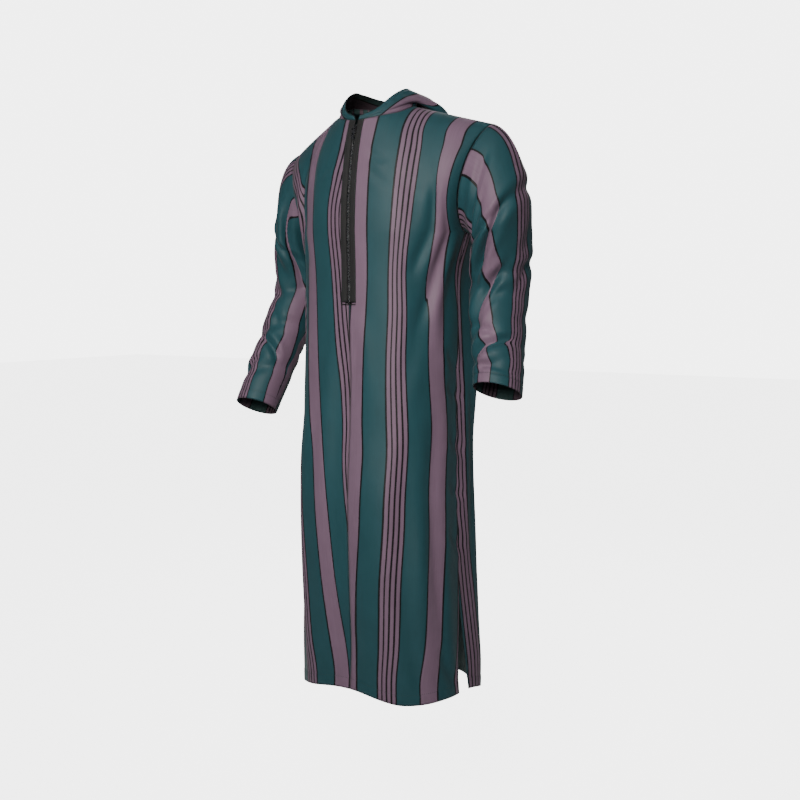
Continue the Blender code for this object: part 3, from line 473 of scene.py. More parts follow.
def finer(grid, rowSteps, columnSteps):
    # A smooth surface through a coarse grid of points
    for axis, steps in ((0, rowSteps), (1, columnSteps)):
        line = np.moveaxis(grid, axis, 0)
        count = len(line)
        padded = np.concatenate([2 * line[:1] - line[1:2], line, 2 * line[-1:] - line[-2:-1]])
        at = np.linspace(0.0, count - 1.0, (count - 1) * steps + 1)
        spot = np.minimum(at.astype(int), count - 2)
        t = (at - spot)[:, None, None]
        a, b, c, d = padded[spot], padded[spot + 1], padded[spot + 2], padded[spot + 3]
        line = 0.5 * (2 * b + (c - a) * t + (2 * a - 5 * b + 4 * c - d) * t ** 2 + (3 * b - a - 3 * c + d) * t ** 3)
        grid = np.moveaxis(line, 0, axis)
    return grid


def runAlong(grid, axis):
    # Length from the first point, along one way of a grid
    steps = np.linalg.norm(np.diff(grid, axis=axis), axis=2)
    start = np.zeros_like(np.take(steps, [0], axis=axis))
    return np.concatenate([start, np.cumsum(steps, axis=axis)], axis=axis)


def addNode(tree, kind, settings=None, links=None):
    node = tree.nodes.new(kind)
    for name, value in (settings or {}).items():
        if isinstance(name, str) and hasattr(node, name):
            setattr(node, name, value)
        else:
            node.inputs[name].default_value = value
    for name, source in (links or {}).items():
        tree.links.new(source, node.inputs[name])
    return node


def newObject(name, data):
    made = bpy.data.objects.new(name, data)
    bpy.context.scene.collection.objects.link(made)
    return made


def meshFrom(bm, name):
    mesh = bpy.data.meshes.new(name)
    bm.to_mesh(mesh)
    bm.free()
    return mesh


def addSurface(tree, settings, links):
    shader = addNode(tree, "ShaderNodeBsdfPrincipled", settings, links)
    addNode(tree, "ShaderNodeOutputMaterial", links={"Surface": shader.outputs[0]})


def newMaterial(name):
    made = bpy.data.materials.new(name)
    made.use_nodes = True
    tree = made.node_tree
    tree.nodes.clear()
    return made, tree


# Polyester satin twill: smooth long floats give a soft sheen, and the fine diagonal shows only close up
clothLook = {
    "roughness": 0.54,
    "specular": 0.24,
    "sheen": 0.05,
    "sheenRoughness": 0.45,
    "twillPitch": 1.1,  # millimetres, drawn about twice as coarse as the real one so that it shows
    "twillDepth": 0.06,
    "streakWidth": 2.2,
    "mottle": 0.10,
}


def clothMaterial(name, colours, dull):
    made, tree = newMaterial(name)
    cut = addNode(tree, "ShaderNodeUVMap", {"uv_map": "cut"})
    place = addNode(tree, "ShaderNodeSeparateXYZ", links={0: cut.outputs["UV"]})
    # Threads make the edge of a stripe a little uneven
    thread = addNode(tree, "ShaderNodeTexNoise", {"Scale": 900.0, "Detail": 1.0}, {"Vector": cut.outputs["UV"]})
    uneven = addNode(tree, "ShaderNodeMath", {"operation": "MULTIPLY_ADD", 1: 0.0007, 2: -0.00035},
                     {0: thread.outputs["Fac"]})
    across = addNode(tree, "ShaderNodeMath", {"operation": "ADD"}, {0: place.outputs["X"], 1: uneven.outputs[0]})
    total = sum(width for _, width in stripes["repeat"])
    turns = addNode(tree, "ShaderNodeMath", {"operation": "MULTIPLY", 1: 1000.0 / total}, {0: across.outputs[0]})
    repeat = addNode(tree, "ShaderNodeMath", {"operation": "FRACT"}, {0: turns.outputs[0]})
    ramp = addNode(tree, "ShaderNodeValToRGB", links={0: repeat.outputs[0]})
    ramp.color_ramp.interpolation = "CONSTANT"
    start = 0.0
    for number, (tone, width) in enumerate(stripes["repeat"]):
        stop = ramp.color_ramp.elements[number] if number < 2 else ramp.color_ramp.elements.new(0.999)
        stop.position = start / total
        stop.color = linear(colours[tone])
        start += width
    # Slow changes of tone, and fine streaks along the yarns
    slow = addNode(tree, "ShaderNodeTexNoise", {"Scale": 14.0, "Detail": 3.0}, {"Vector": cut.outputs["UV"]})
    long = addNode(tree, "ShaderNodeMapping", links={"Vector": cut.outputs["UV"]})
    long.inputs["Scale"].default_value = (1000.0 / clothLook["streakWidth"], 14.0, 1.0)
    streak = addNode(tree, "ShaderNodeTexNoise", {"Scale": 1.0, "Detail": 2.0}, {"Vector": long.outputs[0]})
    both = addNode(tree, "ShaderNodeMath", {"operation": "ADD"}, {0: slow.outputs["Fac"], 1: streak.outputs["Fac"]})
    tone = addNode(tree, "ShaderNodeMapRange", {1: 0.6, 2: 1.4, 3: 1.0 - clothLook["mottle"],
                                                4: 1.0 + clothLook["mottle"]}, {0: both.outputs[0]})
    # Seams and folded edges are painted a little darker: painted shade in their dips and folds, with some dirt along
    # the seams
    edge = addNode(tree, "ShaderNodeAttribute", {"attribute_name": "edge"})
    shade = addNode(tree, "ShaderNodeMapRange", {1: 0.0, 2: 1.0, 3: 1.0, 4: 0.35}, {0: edge.outputs["Fac"]})
    level = addNode(tree, "ShaderNodeMath", {"operation": "MULTIPLY"}, {0: tone.outputs[0], 1: shade.outputs[0]})
    colour = addNode(tree, "ShaderNodeVectorMath", {"operation": "SCALE"},
                     {0: ramp.outputs["Color"], "Scale": level.outputs[0]})
    # The twill's diagonal
    twill = addNode(tree, "ShaderNodeTexWave", {"wave_type": "BANDS", "bands_direction": "DIAGONAL"},
                    {"Vector": cut.outputs["UV"]})
    twill.inputs["Scale"].default_value = 0.628 / (clothLook["twillPitch"] / 1000.0)
    twill.inputs["Distortion"].default_value = 0.6
    twill.inputs["Detail"].default_value = 1.0
    bump = addNode(tree, "ShaderNodeBump", {"Strength": clothLook["twillDepth"], "Distance": 0.0003},
                   {"Height": twill.outputs["Fac"]})
    rough = addNode(tree, "ShaderNodeMapRange", {1: 0.3, 2: 0.7, 3: clothLook["roughness"] - 0.05 + dull,
                                                 4: clothLook["roughness"] + 0.05 + dull},
                    {0: streak.outputs["Fac"]})
    addSurface(tree, {
        "Specular IOR Level": clothLook["specular"],
        "Sheen Weight": clothLook["sheen"],
        "Sheen Roughness": clothLook["sheenRoughness"],
    }, {"Base Color": colour.outputs[0], "Roughness": rough.outputs[0], "Normal": bump.outputs[0]})
    return made


outsideCloth = clothMaterial("striped satin twill", stripes["outside"], 0.0)
insideCloth = clothMaterial("striped satin twill, wrong side", stripes["inside"], 0.14)


def gridMesh(name, grid, uv, edge, wrap, flip):
    rows, columns = grid.shape[:2]
    mesh = bpy.data.meshes.new(name)
    steps = columns if wrap else columns - 1
    row, column = np.meshgrid(np.arange(rows - 1), np.arange(steps), indexing="ij")
    row, column = row.ravel(), column.ravel()
    after = (column + 1) % columns
    corners = [(row, column), (row, after), (row + 1, after), (row + 1, column)]
    places = [(row, column), (row, column + 1), (row + 1, column + 1), (row + 1, column)]
    if flip:
        corners, places = corners[::-1], places[::-1]
    faces = np.stack([r * columns + c for r, c in corners], axis=1)
    mesh.from_pydata(grid.reshape(-1, 3).tolist(), [], faces.tolist())
    layer = mesh.uv_layers.new(name="cut")
    flat = np.stack([uv[r, c] for r, c in places], axis=1).reshape(-1, 2)
    layer.data.foreach_set("uv", flat.ravel().astype(np.float32))
    # The painted shade and dirt of seams and folded edges, kept on the points for the cloth's material
    shade = mesh.attributes.new("edge", "FLOAT", "POINT")
    shade.data.foreach_set("value", edge.ravel().astype(np.float32))
    mesh.shade_smooth()
    mesh.update()
    return mesh


def clothPiece(name, node, grid, uv, edge, wrap=False, flip=False):
    mesh = gridMesh(name, grid, uv, edge, wrap, flip)
    made = newObject(name, mesh)
    mesh.materials.append(outsideCloth)
    mesh.materials.append(insideCloth)
    wall = made.modifiers.new("wall", "SOLIDIFY")
    wall.thickness = clothCut["thick"]
    wall.offset = -1.0
    wall.material_offset = 1
    wall.use_rim = True
    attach(made, "robe")
    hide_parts(node)


def edgeRun(grid):
    # Distance from the hem, the top and both sides of a panel
    down, across = runAlong(grid, 0), runAlong(grid, 1)
    return down, down[-1:] - down, across, across[:, -1:] - across


def seamForm(grid, normals, near):
    # The cloth turns in at a seam
    dip = clothCut["seamDip"] * np.exp(-((near / 0.0022) ** 2))
    return grid - normals * dip[..., None]


print("robe: body panels")
hemAtCentre = bodyForm["hemLevel"] + curveThrough(bodyForm["hemRise"], 0.0, 1)
footHeight = (bodyForm["zipFoot"] - hemAtCentre) / (bodyForm["underarm"] - hemAtCentre)
heights = np.concatenate([
    np.linspace(0.0, 1.0, clothCut["skirtRows"] + 1),
    np.linspace(1.0, 2.0, clothCut["yokeRows"] + 1)[1:],
])
slotShare = math.degrees(math.asin(0.004 / bodyForm["neckHalf"][0])) / bodyForm["neckSide"] * bodyForm["neckShare"]
arcPerDegree = 0.00295


def bodyCrease(side, bearing, level, keep):
    round360 = (side * bearing) % 360.0
    across = np.where(round360 > 270.0, round360 - 360.0, round360) * arcPerDegree
    scaled = [(c[0] * arcPerDegree, c[1], c[2] * arcPerDegree, c[3]) + c[4:] for c in bodyCreases]
    whole = creaseField(scaled, across, level, (0, 1, 2, 3))
    if side < 0:  # the same crease seen past the centre back
        past = np.where(round360 <= 270.0, across, across + 360.0 * arcPerDegree)
        again = creaseField([c for c in scaled if c[0] > 180.0 * arcPerDegree], past, level, (0, 1, 2, 3))
        here = (round360 > 270.0)
        whole = (whole[0] + again[0] * here, whole[1] + again[1] * here)
    return whole[0] * keep, whole[1] * keep


def patternRun(name, side, face, plain, share, height):
    # Distance from the centre line on the flat panel, drawn in above the underarm level
    run = runAlong(plain, 1)
    chest = int(np.argmin(np.abs(heights - 1.0)))
    low = run[chest] + np.linalg.norm(plain[chest, 0] * np.array((1.0, 0.0, 0.0)))
    top = topPoint(side, face, share[-1])
    neck = top[share[-1] <= bodyForm["neckShare"]]
    along = np.abs(top[:, 0]) * 1.04
    tip = np.linalg.norm(top - neck[-1], axis=1) + np.abs(neck[-1][0]) * 1.04
    high = np.where(share[-1] <= bodyForm["neckShare"], along, tip)
    rise = np.maximum(height - 1.0, 0.0)
    across = yokeAcross(face, share, rise)
    yoke = low + (high - low) * across
    skirt = run + np.abs(plain[:, :1, 0])
    away = np.where(height <= 1.0, skirt, yoke)
    level = plain[..., 2]
    lead = curveThrough(cutPlace[name], level, 1) / 1000.0
    stretch = curveThrough(cutPlace[name], level, 2)
    hidden = curveThrough(cutPlace[name], level, 3) / 1000.0 * np.exp(-away / 0.015)
    return lead + stretch * away + hidden


def panel(name, side, face, columns):
    share = np.linspace(0.0, 1.0, columns + 1)[None, :] * np.ones((len(heights), 1))
    if face == "front":
        besideSlot = (heights >= footHeight)[:, None]
        share = np.where(besideSlot, slotShare + (1.0 - slotShare) * share, share)
    height = heights[:, None] * np.ones_like(share)
    plain = bodyPoint(side, face, share, height)
    bearing = 90.0 * share if face == "front" else 180.0 - 90.0 * share
    flip = (side < 0) if face == "front" else (side > 0)
    normals = easedNormals(gridNormals(plain, False, flip), 12)
    rise = np.maximum(height - 1.0, 0.0)
    keep = (1.0 - 0.75 * smooth(share, 0.75, 1.0) * smooth(rise, 0.0, 0.15)) * (1.0 - smooth(rise, 0.72, 0.98))
    if face == "front":
        keep = keep * np.where(height >= footHeight - 0.01, smooth(share, 0.07, 0.16), smooth(share, -0.02, 0.06))
    depth, tuck = bodyCrease(side, bearing, plain[..., 2], keep)
    run = patternRun(name, side, face, plain, share, height)
    return {"plain": plain, "normals": normals, "depth": depth, "run": run + tuck, "flip": flip}


def dressPanel(part):
    grid = part["plain"] + part["normals"] * part["depth"][..., None]
    hem, up, across, back = edgeRun(grid)
    # The hem is turned up and stitched, which leaves a soft step
    turned = 0.0006 * (1.0 - smooth(hem, clothCut["hemFold"] - 0.002, clothCut["hemFold"]))
    stitch = -0.0007 * np.exp(-(((hem - clothCut["hemFold"]) / 0.0018) ** 2))
    sewn = np.minimum(np.minimum(up, across), back)
    grid = grid + part["normals"] * (turned + stitch)[..., None]
    grid = seamForm(grid, part["normals"], sewn)
    # Painted shade and dirt at the seams, the hem and the hem's fold line
    edge = 0.75 * np.exp(-((sewn / 0.0016) ** 2)) + 0.5 * np.exp(-((hem / 0.0016) ** 2))
    edge = edge + 0.35 * np.exp(-(((hem - clothCut["hemFold"]) / 0.0012) ** 2))
    return grid, np.clip(edge, 0.0, 1.0)


frontNames = {1: "front_left", -1: "front_right"}
frontParts = {side: panel(name, side, "front", clothCut["frontColumns"]) for side, name in frontNames.items()}

halves = {side: panel("back", side, "back", clothCut["backColumns"]) for side in (1, -1)}
right, left = halves[-1], halves[1]
backPart = {
    key: np.concatenate([right[key][:, ::-1], left[key][:, 1:]], axis=1)
    for key in ("plain", "depth")
}
backPart["normals"] = easedNormals(gridNormals(backPart["plain"], False, True), 12)
backPart["run"] = np.concatenate([
    2 * cutPlace["back"][0][1] / 1000.0 - right["run"][:, ::-1], left["run"][:, 1:],
], axis=1)


def matchSeam(first, second, rows):
    # Two pieces face the same way along their seam, so that their creases meet there
    (one, start, step), (other, otherStart, otherStep) = first, second
    seam = one[:, start] + other[:, otherStart]
    seam = seam / np.linalg.norm(seam, axis=1, keepdims=True)
    for away in range(10):
        for normals, column in ((one, start + step * away), (other, otherStart + otherStep * away)):
            mixed = normals[:, column] + (seam - normals[:, column]) * rows[:, None] * (1.0 - away / 10.0)
            normals[:, column] = mixed / np.linalg.norm(mixed, axis=1, keepdims=True)


sideRows = 1.0 - smooth(heights, 0.96, 1.0)
matchSeam((frontParts[1]["normals"], -1, -1), (backPart["normals"], -1, -1), sideRows)
matchSeam((frontParts[-1]["normals"], -1, -1), (backPart["normals"], 0, 1), sideRows)
matchSeam((frontParts[1]["normals"], 0, 1), (frontParts[-1]["normals"], 0, 1), (heights < footHeight) * 1.0)

fronts = {}
for side, name in frontNames.items():
    part = frontParts[side]
    grid, edge = dressPanel(part)
    uv = np.stack([part["run"], part["plain"][..., 2]], axis=-1)
    clothPiece(name + "_cloth", name, grid, uv, edge, flip=part["flip"])
    fronts[side] = {"grid": grid, "normals": gridNormals(grid, False, part["flip"])}

backGrid, backEdge = dressPanel(backPart)
backUv = np.stack([backPart["run"], backPart["plain"][..., 2]], axis=-1)
clothPiece("back_cloth", "back", backGrid, backUv, backEdge, flip=True)

print("robe: sleeves")


def armRing(side, along):
    rings = sleeveForm["rings"][side]
    rows = [(place / (len(rings) - 1),) + tuple(ring) for place, ring in enumerate(rings)]
    return [curveThrough(rows, along, column + 1) for column in range(7)]


def ringPoint(side, ring, bearing, swell):
    level, out, backward, wide, deep, tilt, roll = ring
    turn = np.radians(bearing)
    a, b = (wide + swell) * np.cos(turn), (deep + swell) * np.sin(turn)
    tilt, roll = np.radians(tilt), np.radians(roll)
    x, y, z = a * np.cos(roll), b, a * np.sin(roll)
    y, z = np.cos(tilt) * y + np.sin(tilt) * z, -np.sin(tilt) * y + np.cos(tilt) * z
    return np.stack([side * (out + x), backward + y, level + z], axis=-1)


def mainCrease(along, bearing):
    total = np.zeros(np.broadcast(along, bearing).shape)
    for place, at, slant, depth, width in sleeveForm["creases"]:
        away = np.radians(bearing - at)
        near = np.exp(-(((along - place - slant * np.sin(away)) / width) ** 2))
        total = total + depth * near * (0.5 + 0.5 * np.cos(away))
    return total


def sleeveGrid(side, count):
    place = np.arange(count) / (count / 2.0)
    bearing = (180.0 + 180.0 * place) % 360.0
    rise = np.where(place <= 1.0, place, 2.0 - place)
    front = armholePoint(side, "front", rise)
    start = np.where((place <= 1.0)[:, None], front, armholePoint(side, "back", rise))
    high = ((1.0 + np.cos(np.radians(bearing))) / 2.0)[:, None]
    leave = np.array(sleeveForm["leaveLow"]) * (1.0 - high) + np.array(sleeveForm["leaveTop"]) * high
    leave = leave / np.linalg.norm(leave, axis=1, keepdims=True) * np.array((side, 1.0, 1.0))
    zero = np.zeros(count)
    end = ringPoint(side, armRing(side, zero), bearing, 0.0)
    arrive = ringPoint(side, armRing(side, zero + sleeveForm["arriveStep"]), bearing, 0.0) - end
    arrive = arrive / np.linalg.norm(arrive, axis=1, keepdims=True)
    pull = np.linalg.norm(end - start, axis=1, keepdims=True)
    pull = pull * (sleeveForm["pull"][0] + (sleeveForm["pull"][1] - sleeveForm["pull"][0]) * high)
    rows = []
    for t in np.arange(sleeveForm["capRows"]) / sleeveForm["capRows"]:
        point = start * ((1 + 2 * t) * (1 - t) ** 2) + leave * pull * (t * (1 - t) ** 2)
        rows.append(point + end * (t * t * (3 - 2 * t)) - arrive * pull * (t * t * (1 - t)))
    for along in np.arange(sleeveForm["armRows"] + 1) / sleeveForm["armRows"]:
        ring = armRing(side, zero + along)
        rows.append(ringPoint(side, ring, bearing, mainCrease(along, bearing)))
    return np.array(rows), bearing


def sleevePiece(side, name):
    count = 2 * clothCut["yokeRows"]
    grid, bearing = sleeveGrid(side, count)
    flip = side > 0
    normals = gridNormals(grid, True, flip)
    for _ in range(12):
        around = np.roll(normals, 1, axis=1) + np.roll(normals, -1, axis=1)
        spread = np.pad(normals, ((1, 1), (0, 0), (0, 0)), mode="edge")
        normals = around + spread[:-2] + spread[2:]
        normals = normals / np.linalg.norm(normals, axis=2, keepdims=True)
    outer = int(np.argmin(np.abs((bearing + 180.0) % 360.0 - 180.0)))
    down = runAlong(grid, 0)[:, outer]
    # Distance round the sleeve from its outer line, + towards its front
    signed = np.where(bearing > 180.0, 360.0 - bearing, -bearing)
    loops = np.concatenate([grid, grid[:, :1]], axis=1)
    perimeter = runAlong(loops, 1)[:, -1]
    around = np.concatenate([signed, [-180.0]])
    around[0] = 180.0
    uvAround = around[None, :] / 360.0 * perimeter[:, None]
    crossing = np.where(bearing < 180.0, bearing + 360.0, bearing)[None, :] * np.ones((len(grid), 1))
    crossing[:, 0] = 180.0
    scale = 0.0012
    scaled = []
    for c in sleeveCreases[side]:
        first, second = (b + 360.0 if b < 180.0 else float(b) for b in (c[1], c[3]))
        scaled.append((c[0], first * scale, c[2], second * scale, c[4], c[5], c[6]))
    level = down[:, None] * np.ones_like(crossing)
    depth, tuck = creaseField(scaled, crossing * scale, level, (1, 0, 3, 2))
    seamFade = smooth(np.minimum(crossing - 180.0, 540.0 - crossing), 0.0, 14.0)
    ends = smooth(level, 0.004, 0.05)
    depth = depth * ends * seamFade
    for place, at, out, spread, turn in sleeveForm["fuller"][side]:
        aside = (bearing[None, :] - at + 180.0) % 360.0 - 180.0
        swell = out * np.exp(-(((level - place) / spread) ** 2) - (aside / turn) ** 2)
        depth = depth + swell * smooth(level, 0.0, 0.06)
    tuck = np.concatenate([tuck * ends * seamFade, np.zeros((len(grid), 1))], axis=1)
    grid = grid + normals * depth[..., None]
    toCuff = down[-1] - down
    near = down[:, None] * np.ones_like(crossing)
    cuff = toCuff[:, None] * np.ones_like(crossing)
    turned = 0.0005 * (1.0 - smooth(cuff, 0.018, clothCut["cuffFold"]))
    turned = turned - 0.0006 * np.exp(-(((cuff - clothCut["cuffFold"]) / 0.0016) ** 2))
    grid = seamForm(grid + normals * turned[..., None], normals, near)
    # Painted shade and dirt at the armhole seam, the cuff and the cuff's fold line
    edge = 0.8 * np.exp(-((near / 0.0022) ** 2)) + 0.5 * np.exp(-((cuff / 0.0016) ** 2))
    edge = np.clip(edge + 0.35 * np.exp(-(((cuff - clothCut["cuffFold"]) / 0.0012) ** 2)), 0.0, 1.0)
    (pivot, lead), rows = sleevePlace[side]
    stretch = curveThrough(rows, down, 1)[:, None]
    acrossCloth = lead / 1000.0 + stretch * (uvAround - pivot / 1000.0) + tuck
    uv = np.stack([acrossCloth, -np.repeat(level[:, :1], count + 1, axis=1)], axis=-1)
    clothPiece(name + "_cloth", name, grid, uv, edge, wrap=True, flip=flip)
    return {"grid": grid, "normals": gridNormals(grid, True, flip)}


sleeves = {side: sleevePiece(side, name) for side, name in ((1, "sleeve_left"), (-1, "sleeve_right"))}

print("robe: hood")


def backPointAt(side, share, drop):
    # A point of the back, a distance below the neck, and the way out from it
    tries = 2.0 - 0.01 * np.arange(0, 201)
    line = bodyPoint(side, "back", np.full_like(tries, share), tries)
    spot = int(np.argmax(line[0, 2] - line[:, 2] >= drop - 1e-12))
    height = tries[spot]
    point = line[spot]
    along = bodyPoint(side, "back", share + 0.01, height) - point
    if share == 0.0:
        along = np.array((side, 0.0, 0.0))
    up = bodyPoint(side, "back", share, min(height + 0.01, 2.0)) - bodyPoint(side, "back", share, height - 0.01)
    outward = np.cross(along, up)
    outward = outward / np.linalg.norm(outward)
    if outward @ np.array((point[0] * 0.3, 1.0, 0.2)) < 0.0:
        outward = -outward
    return point, outward


def evenSteps(controls, turn, steps):
    rows = [(float(number),) + tuple(point) for number, point in enumerate(controls)]
    last = len(controls) - 1
    fine = np.linspace(0.0, last, 12 * last + 1)
    line = np.stack([curveThrough(rows, fine, column) for column in (1, 2, 3)], axis=1)
    run = np.concatenate([[0.0], np.cumsum(np.linalg.norm(np.diff(line, axis=0), axis=1))])
    half = steps // 2
    marks = list(np.linspace(0.0, run[12 * turn], half + 1))
    marks += list(np.linspace(run[12 * turn], run[-1], steps - half + 1))[1:]
    return [np.array([np.interp(mark, run, line[:, axis]) for axis in range(3)]) for mark in marks]


def hoodRib(side, face, share):
    bearing = neckBearing(face, share)
    seam = topPoint(side, face, np.asarray(share, float))
    hang, puff, rimOut, rimY, rimLevel = (float(curveThrough(hoodForm["ribs"], bearing, c)) for c in range(1, 6))
    rim = np.array((side * rimOut, rimY, rimLevel))
    away = np.array((seam[0], seam[1] - bodyForm["neckCentre"], 0.0))
    away = away / np.linalg.norm(away)
    if face == "front" or hang == 0.0:
        controls = [seam + (rim - seam) * hoodForm["frontStand"]]
        for t in hoodForm["frontTurns"]:
            controls.append(seam + (rim - seam) * t + away * puff * math.sin(math.pi * t))
        turn = len(hoodForm["frontTurns"]) - 1
    else:
        controls = [seam + np.array((0.0, 0.0, hoodForm["stand"])) + away * hoodForm["stand"] * hoodForm["standOut"]]
        splay = hoodForm["splay"] * (share / bodyForm["neckShare"]) ** 3 - hoodForm["gather"]
        for depth, out in hoodForm["turns"]:
            point, outward = backPointAt(side, share * (1.0 + splay * depth), hang * depth)
            controls.append(point + outward * (hoodForm["lift"] + out * puff))
        depths = [depth for depth, out in hoodForm["turns"]]
        turn = 1 + depths.index(max(depths))
    controls.append(rim)
    if share == 0.0 and face == "back":
        controls = [point * np.array((0.0, 1.0, 1.0)) for point in controls]
    return [seam] + evenSteps(controls, turn, hoodForm["rows"])


def hoodGrid(side):
    shares = [column / hoodForm["columns"] * bodyForm["neckShare"] for column in range(hoodForm["columns"] + 1)]
    ribs = [hoodRib(side, "front", slotShare)]
    ribs += [hoodRib(side, "front", share) for share in shares[1:]]
    ribs += [hoodRib(side, "back", share) for share in shares[-2::-1]]
    grid = np.array(ribs).transpose(1, 0, 2)
    for _ in range(hoodForm["ease"]):
        before = grid.copy()
        near = before[1:-2, 1:-1] + before[3:, 1:-1] + before[2:-1, :-2] + before[2:-1, 2:]
        grid[2:-1, 1:-1] = (before[2:-1, 1:-1] + near / 4.0) / 2.0
    return grid


# Creases of the hood: metres along its rim from the front and from the rim inwards, at both ends
hoodCreases = [
    (0.050, 0.006, 0.110, 0.040, -0.0022, 0.008, 0.0),
    (0.100, 0.010, 0.160, 0.060, -0.0024, 0.009, 0.0),
    (0.150, 0.020, 0.205, 0.120, -0.0034, 0.011, 0.0),
    (0.190, 0.030, 0.240, 0.170, -0.0032, 0.012, 0.0),
    (0.240, 0.020, 0.262, 0.200, -0.0034, 0.012, 0.0),
]


def hoodPiece(side, name):
    coarse = hoodGrid(side)
    grid = finer(coarse, 8, 6)
    if abs(coarse[:, -1, 0]).max() < 1e-6:
        grid[:, -1, 0] = 0.0
    flip = side < 0
    normals = easedNormals(gridNormals(grid, False, flip), 6)
    fromSeam = runAlong(grid, 0)
    fromRim = fromSeam[-1:] - fromSeam
    along = runAlong(grid, 1)[-1][None, :] * np.ones_like(fromRim)
    depth, tuck = creaseField(hoodCreases, along, fromRim, (0, 1, 2, 3))
    columnsIn = np.arange(grid.shape[1])[None, :] * np.ones_like(fromRim)
    keep = smooth(fromRim, 0.0, 0.012) * smooth(fromSeam, 0.012, 0.05)
    keep = keep * smooth(grid.shape[1] - 1 - columnsIn, 0.0, 12.0)
    grid = grid + normals * (depth * keep)[..., None]
    seam = np.minimum(fromSeam, runAlong(grid, 1)[:, -1:] - runAlong(grid, 1))
    rimFold = 0.0006 * (1.0 - smooth(fromRim, 0.010, 0.012))
    grid = seamForm(grid + normals * rimFold[..., None], normals, seam)
    # Painted shade and dirt at the seams, darkest along the hood's rim
    edge = 0.8 * np.exp(-((seam / 0.0020) ** 2)) + 1.0 * np.exp(-((fromRim / 0.0022) ** 4))
    uv = np.stack([hoodPlace[side] / 1000.0 + fromRim, along], axis=-1)
    clothPiece(name + "_cloth", name, grid, uv, np.clip(edge, 0.0, 1.0), flip=flip)
    return {"grid": grid, "normals": gridNormals(grid, False, flip)}


hoods = {side: hoodPiece(side, name) for side, name in ((1, "hood_left"), (-1, "hood_right"))}

print("robe: zip")
zipForm = {
    "tapeInner": 0.0031,
    "tapeOuter": 0.0168,
    "tapeThick": 0.0008,
    "lay": 0.00025,
    "bead": 0.0005,  # the cord along the inner edge that carries the teeth
    "teethTop": -0.0405,
    "toothPitch": 0.0019,
    "toothSize": (0.0031, 0.0013, 0.0019),
    "toothAside": 0.00085,
    "toothLift": 0.0008,
    "endBar": (0.0335, 0.0044, 0.0015),
    "pullPin": (0.0, -0.128976, -0.033244),
    "lean": 18.9,  # degrees that the neck's front leans back
    "plate": (0.0045, 0.0060, 0.0013),
    "plateBelow": 0.0021,
    "arch": (0.0040, 0.0026, 0.00055),
    "tab": [(0.0043, 0.0005), (0.0043, -0.0080), (0.0031, -0.0112), (0.0031, -0.0232), (0.0015, -0.0253)],
    "tabThick": 0.0011,
    "window": (0.0026, -0.0008, -0.0056),
}

# Woven polyester tape: a close warp rib along its length, matt and nearly black
tapeCloth, tree = newMaterial("woven polyester zip tape")
cut = addNode(tree, "ShaderNodeUVMap", {"uv_map": "cut"})
ribs = addNode(tree, "ShaderNodeTexWave", {"wave_type": "BANDS", "bands_direction": "X", "Distortion": 0.4},
               {"Vector": cut.outputs["UV"]})
ribs.inputs["Scale"].default_value = 0.314 / 0.0007  # 0.7 mm ribs
picks = addNode(tree, "ShaderNodeTexWave", {"wave_type": "BANDS", "bands_direction": "Y", "Distortion": 0.8},
                {"Vector": cut.outputs["UV"]})
picks.inputs["Scale"].default_value = 0.314 / 0.0009
weave = addNode(tree, "ShaderNodeMath", {"operation": "MULTIPLY"}, {0: ribs.outputs["Fac"], 1: picks.outputs["Fac"]})
lint = addNode(tree, "ShaderNodeTexNoise", {"Scale": 60.0, "Detail": 3.0}, {"Vector": cut.outputs["UV"]})
both = addNode(tree, "ShaderNodeMath", {"operation": "MULTIPLY"}, {0: weave.outputs[0], 1: lint.outputs["Fac"]})
ramp = addNode(tree, "ShaderNodeValToRGB", links={0: both.outputs[0]})
ramp.color_ramp.elements[0].color = linear("#08090b")
ramp.color_ramp.elements[1].color = linear("#1b1d21")
ramp.color_ramp.elements[1].position = 0.6
bump = addNode(tree, "ShaderNodeBump", {"Strength": 0.5, "Distance": 0.0003}, {"Height": weave.outputs[0]})
addSurface(tree, {"Roughness": 0.70, "Sheen Weight": 0.04},
           {"Base Color": ramp.outputs[0], "Normal": bump.outputs[0]})


def metalMaterial(name, base, worn, roughness):
    # Die-cast zinc under dark plating: fine tumbling marks, and a lighter tone where hands wear it
    made, tree = newMaterial(name)
    where = addNode(tree, "ShaderNodeTexCoord")
    cloud = addNode(tree, "ShaderNodeTexNoise", {"Scale": 420.0, "Detail": 4.0}, {"Vector": where.outputs["Object"]})
    ramp = addNode(tree, "ShaderNodeValToRGB", links={0: cloud.outputs["Fac"]})
    ramp.color_ramp.elements[0].position = 0.42
    ramp.color_ramp.elements[0].color = linear(base)
    ramp.color_ramp.elements[1].position = 0.78
    ramp.color_ramp.elements[1].color = linear(worn)
    rough = addNode(tree, "ShaderNodeMapRange", {1: 0.3, 2: 0.7, 3: roughness - 0.07, 4: roughness + 0.10},
                    {0: cloud.outputs["Fac"]})
    marks = addNode(tree, "ShaderNodeTexNoise", {"Scale": 2600.0, "Detail": 2.0}, {"Vector": where.outputs["Object"]})
    bump = addNode(tree, "ShaderNodeBump", {"Strength": 0.12, "Distance": 0.0001}, {"Height": marks.outputs["Fac"]})
    addSurface(tree, {"Metallic": 1.0},
               {"Base Color": ramp.outputs[0], "Roughness": rough.outputs[0], "Normal": bump.outputs[0]})
    return made


platedZinc = metalMaterial("die-cast zinc, plated dark", "#2e3033", "#74767a", 0.30)
toothMetal = metalMaterial("zip teeth, plated dark", "#4b4d50", "#9a9c9f", 0.28)

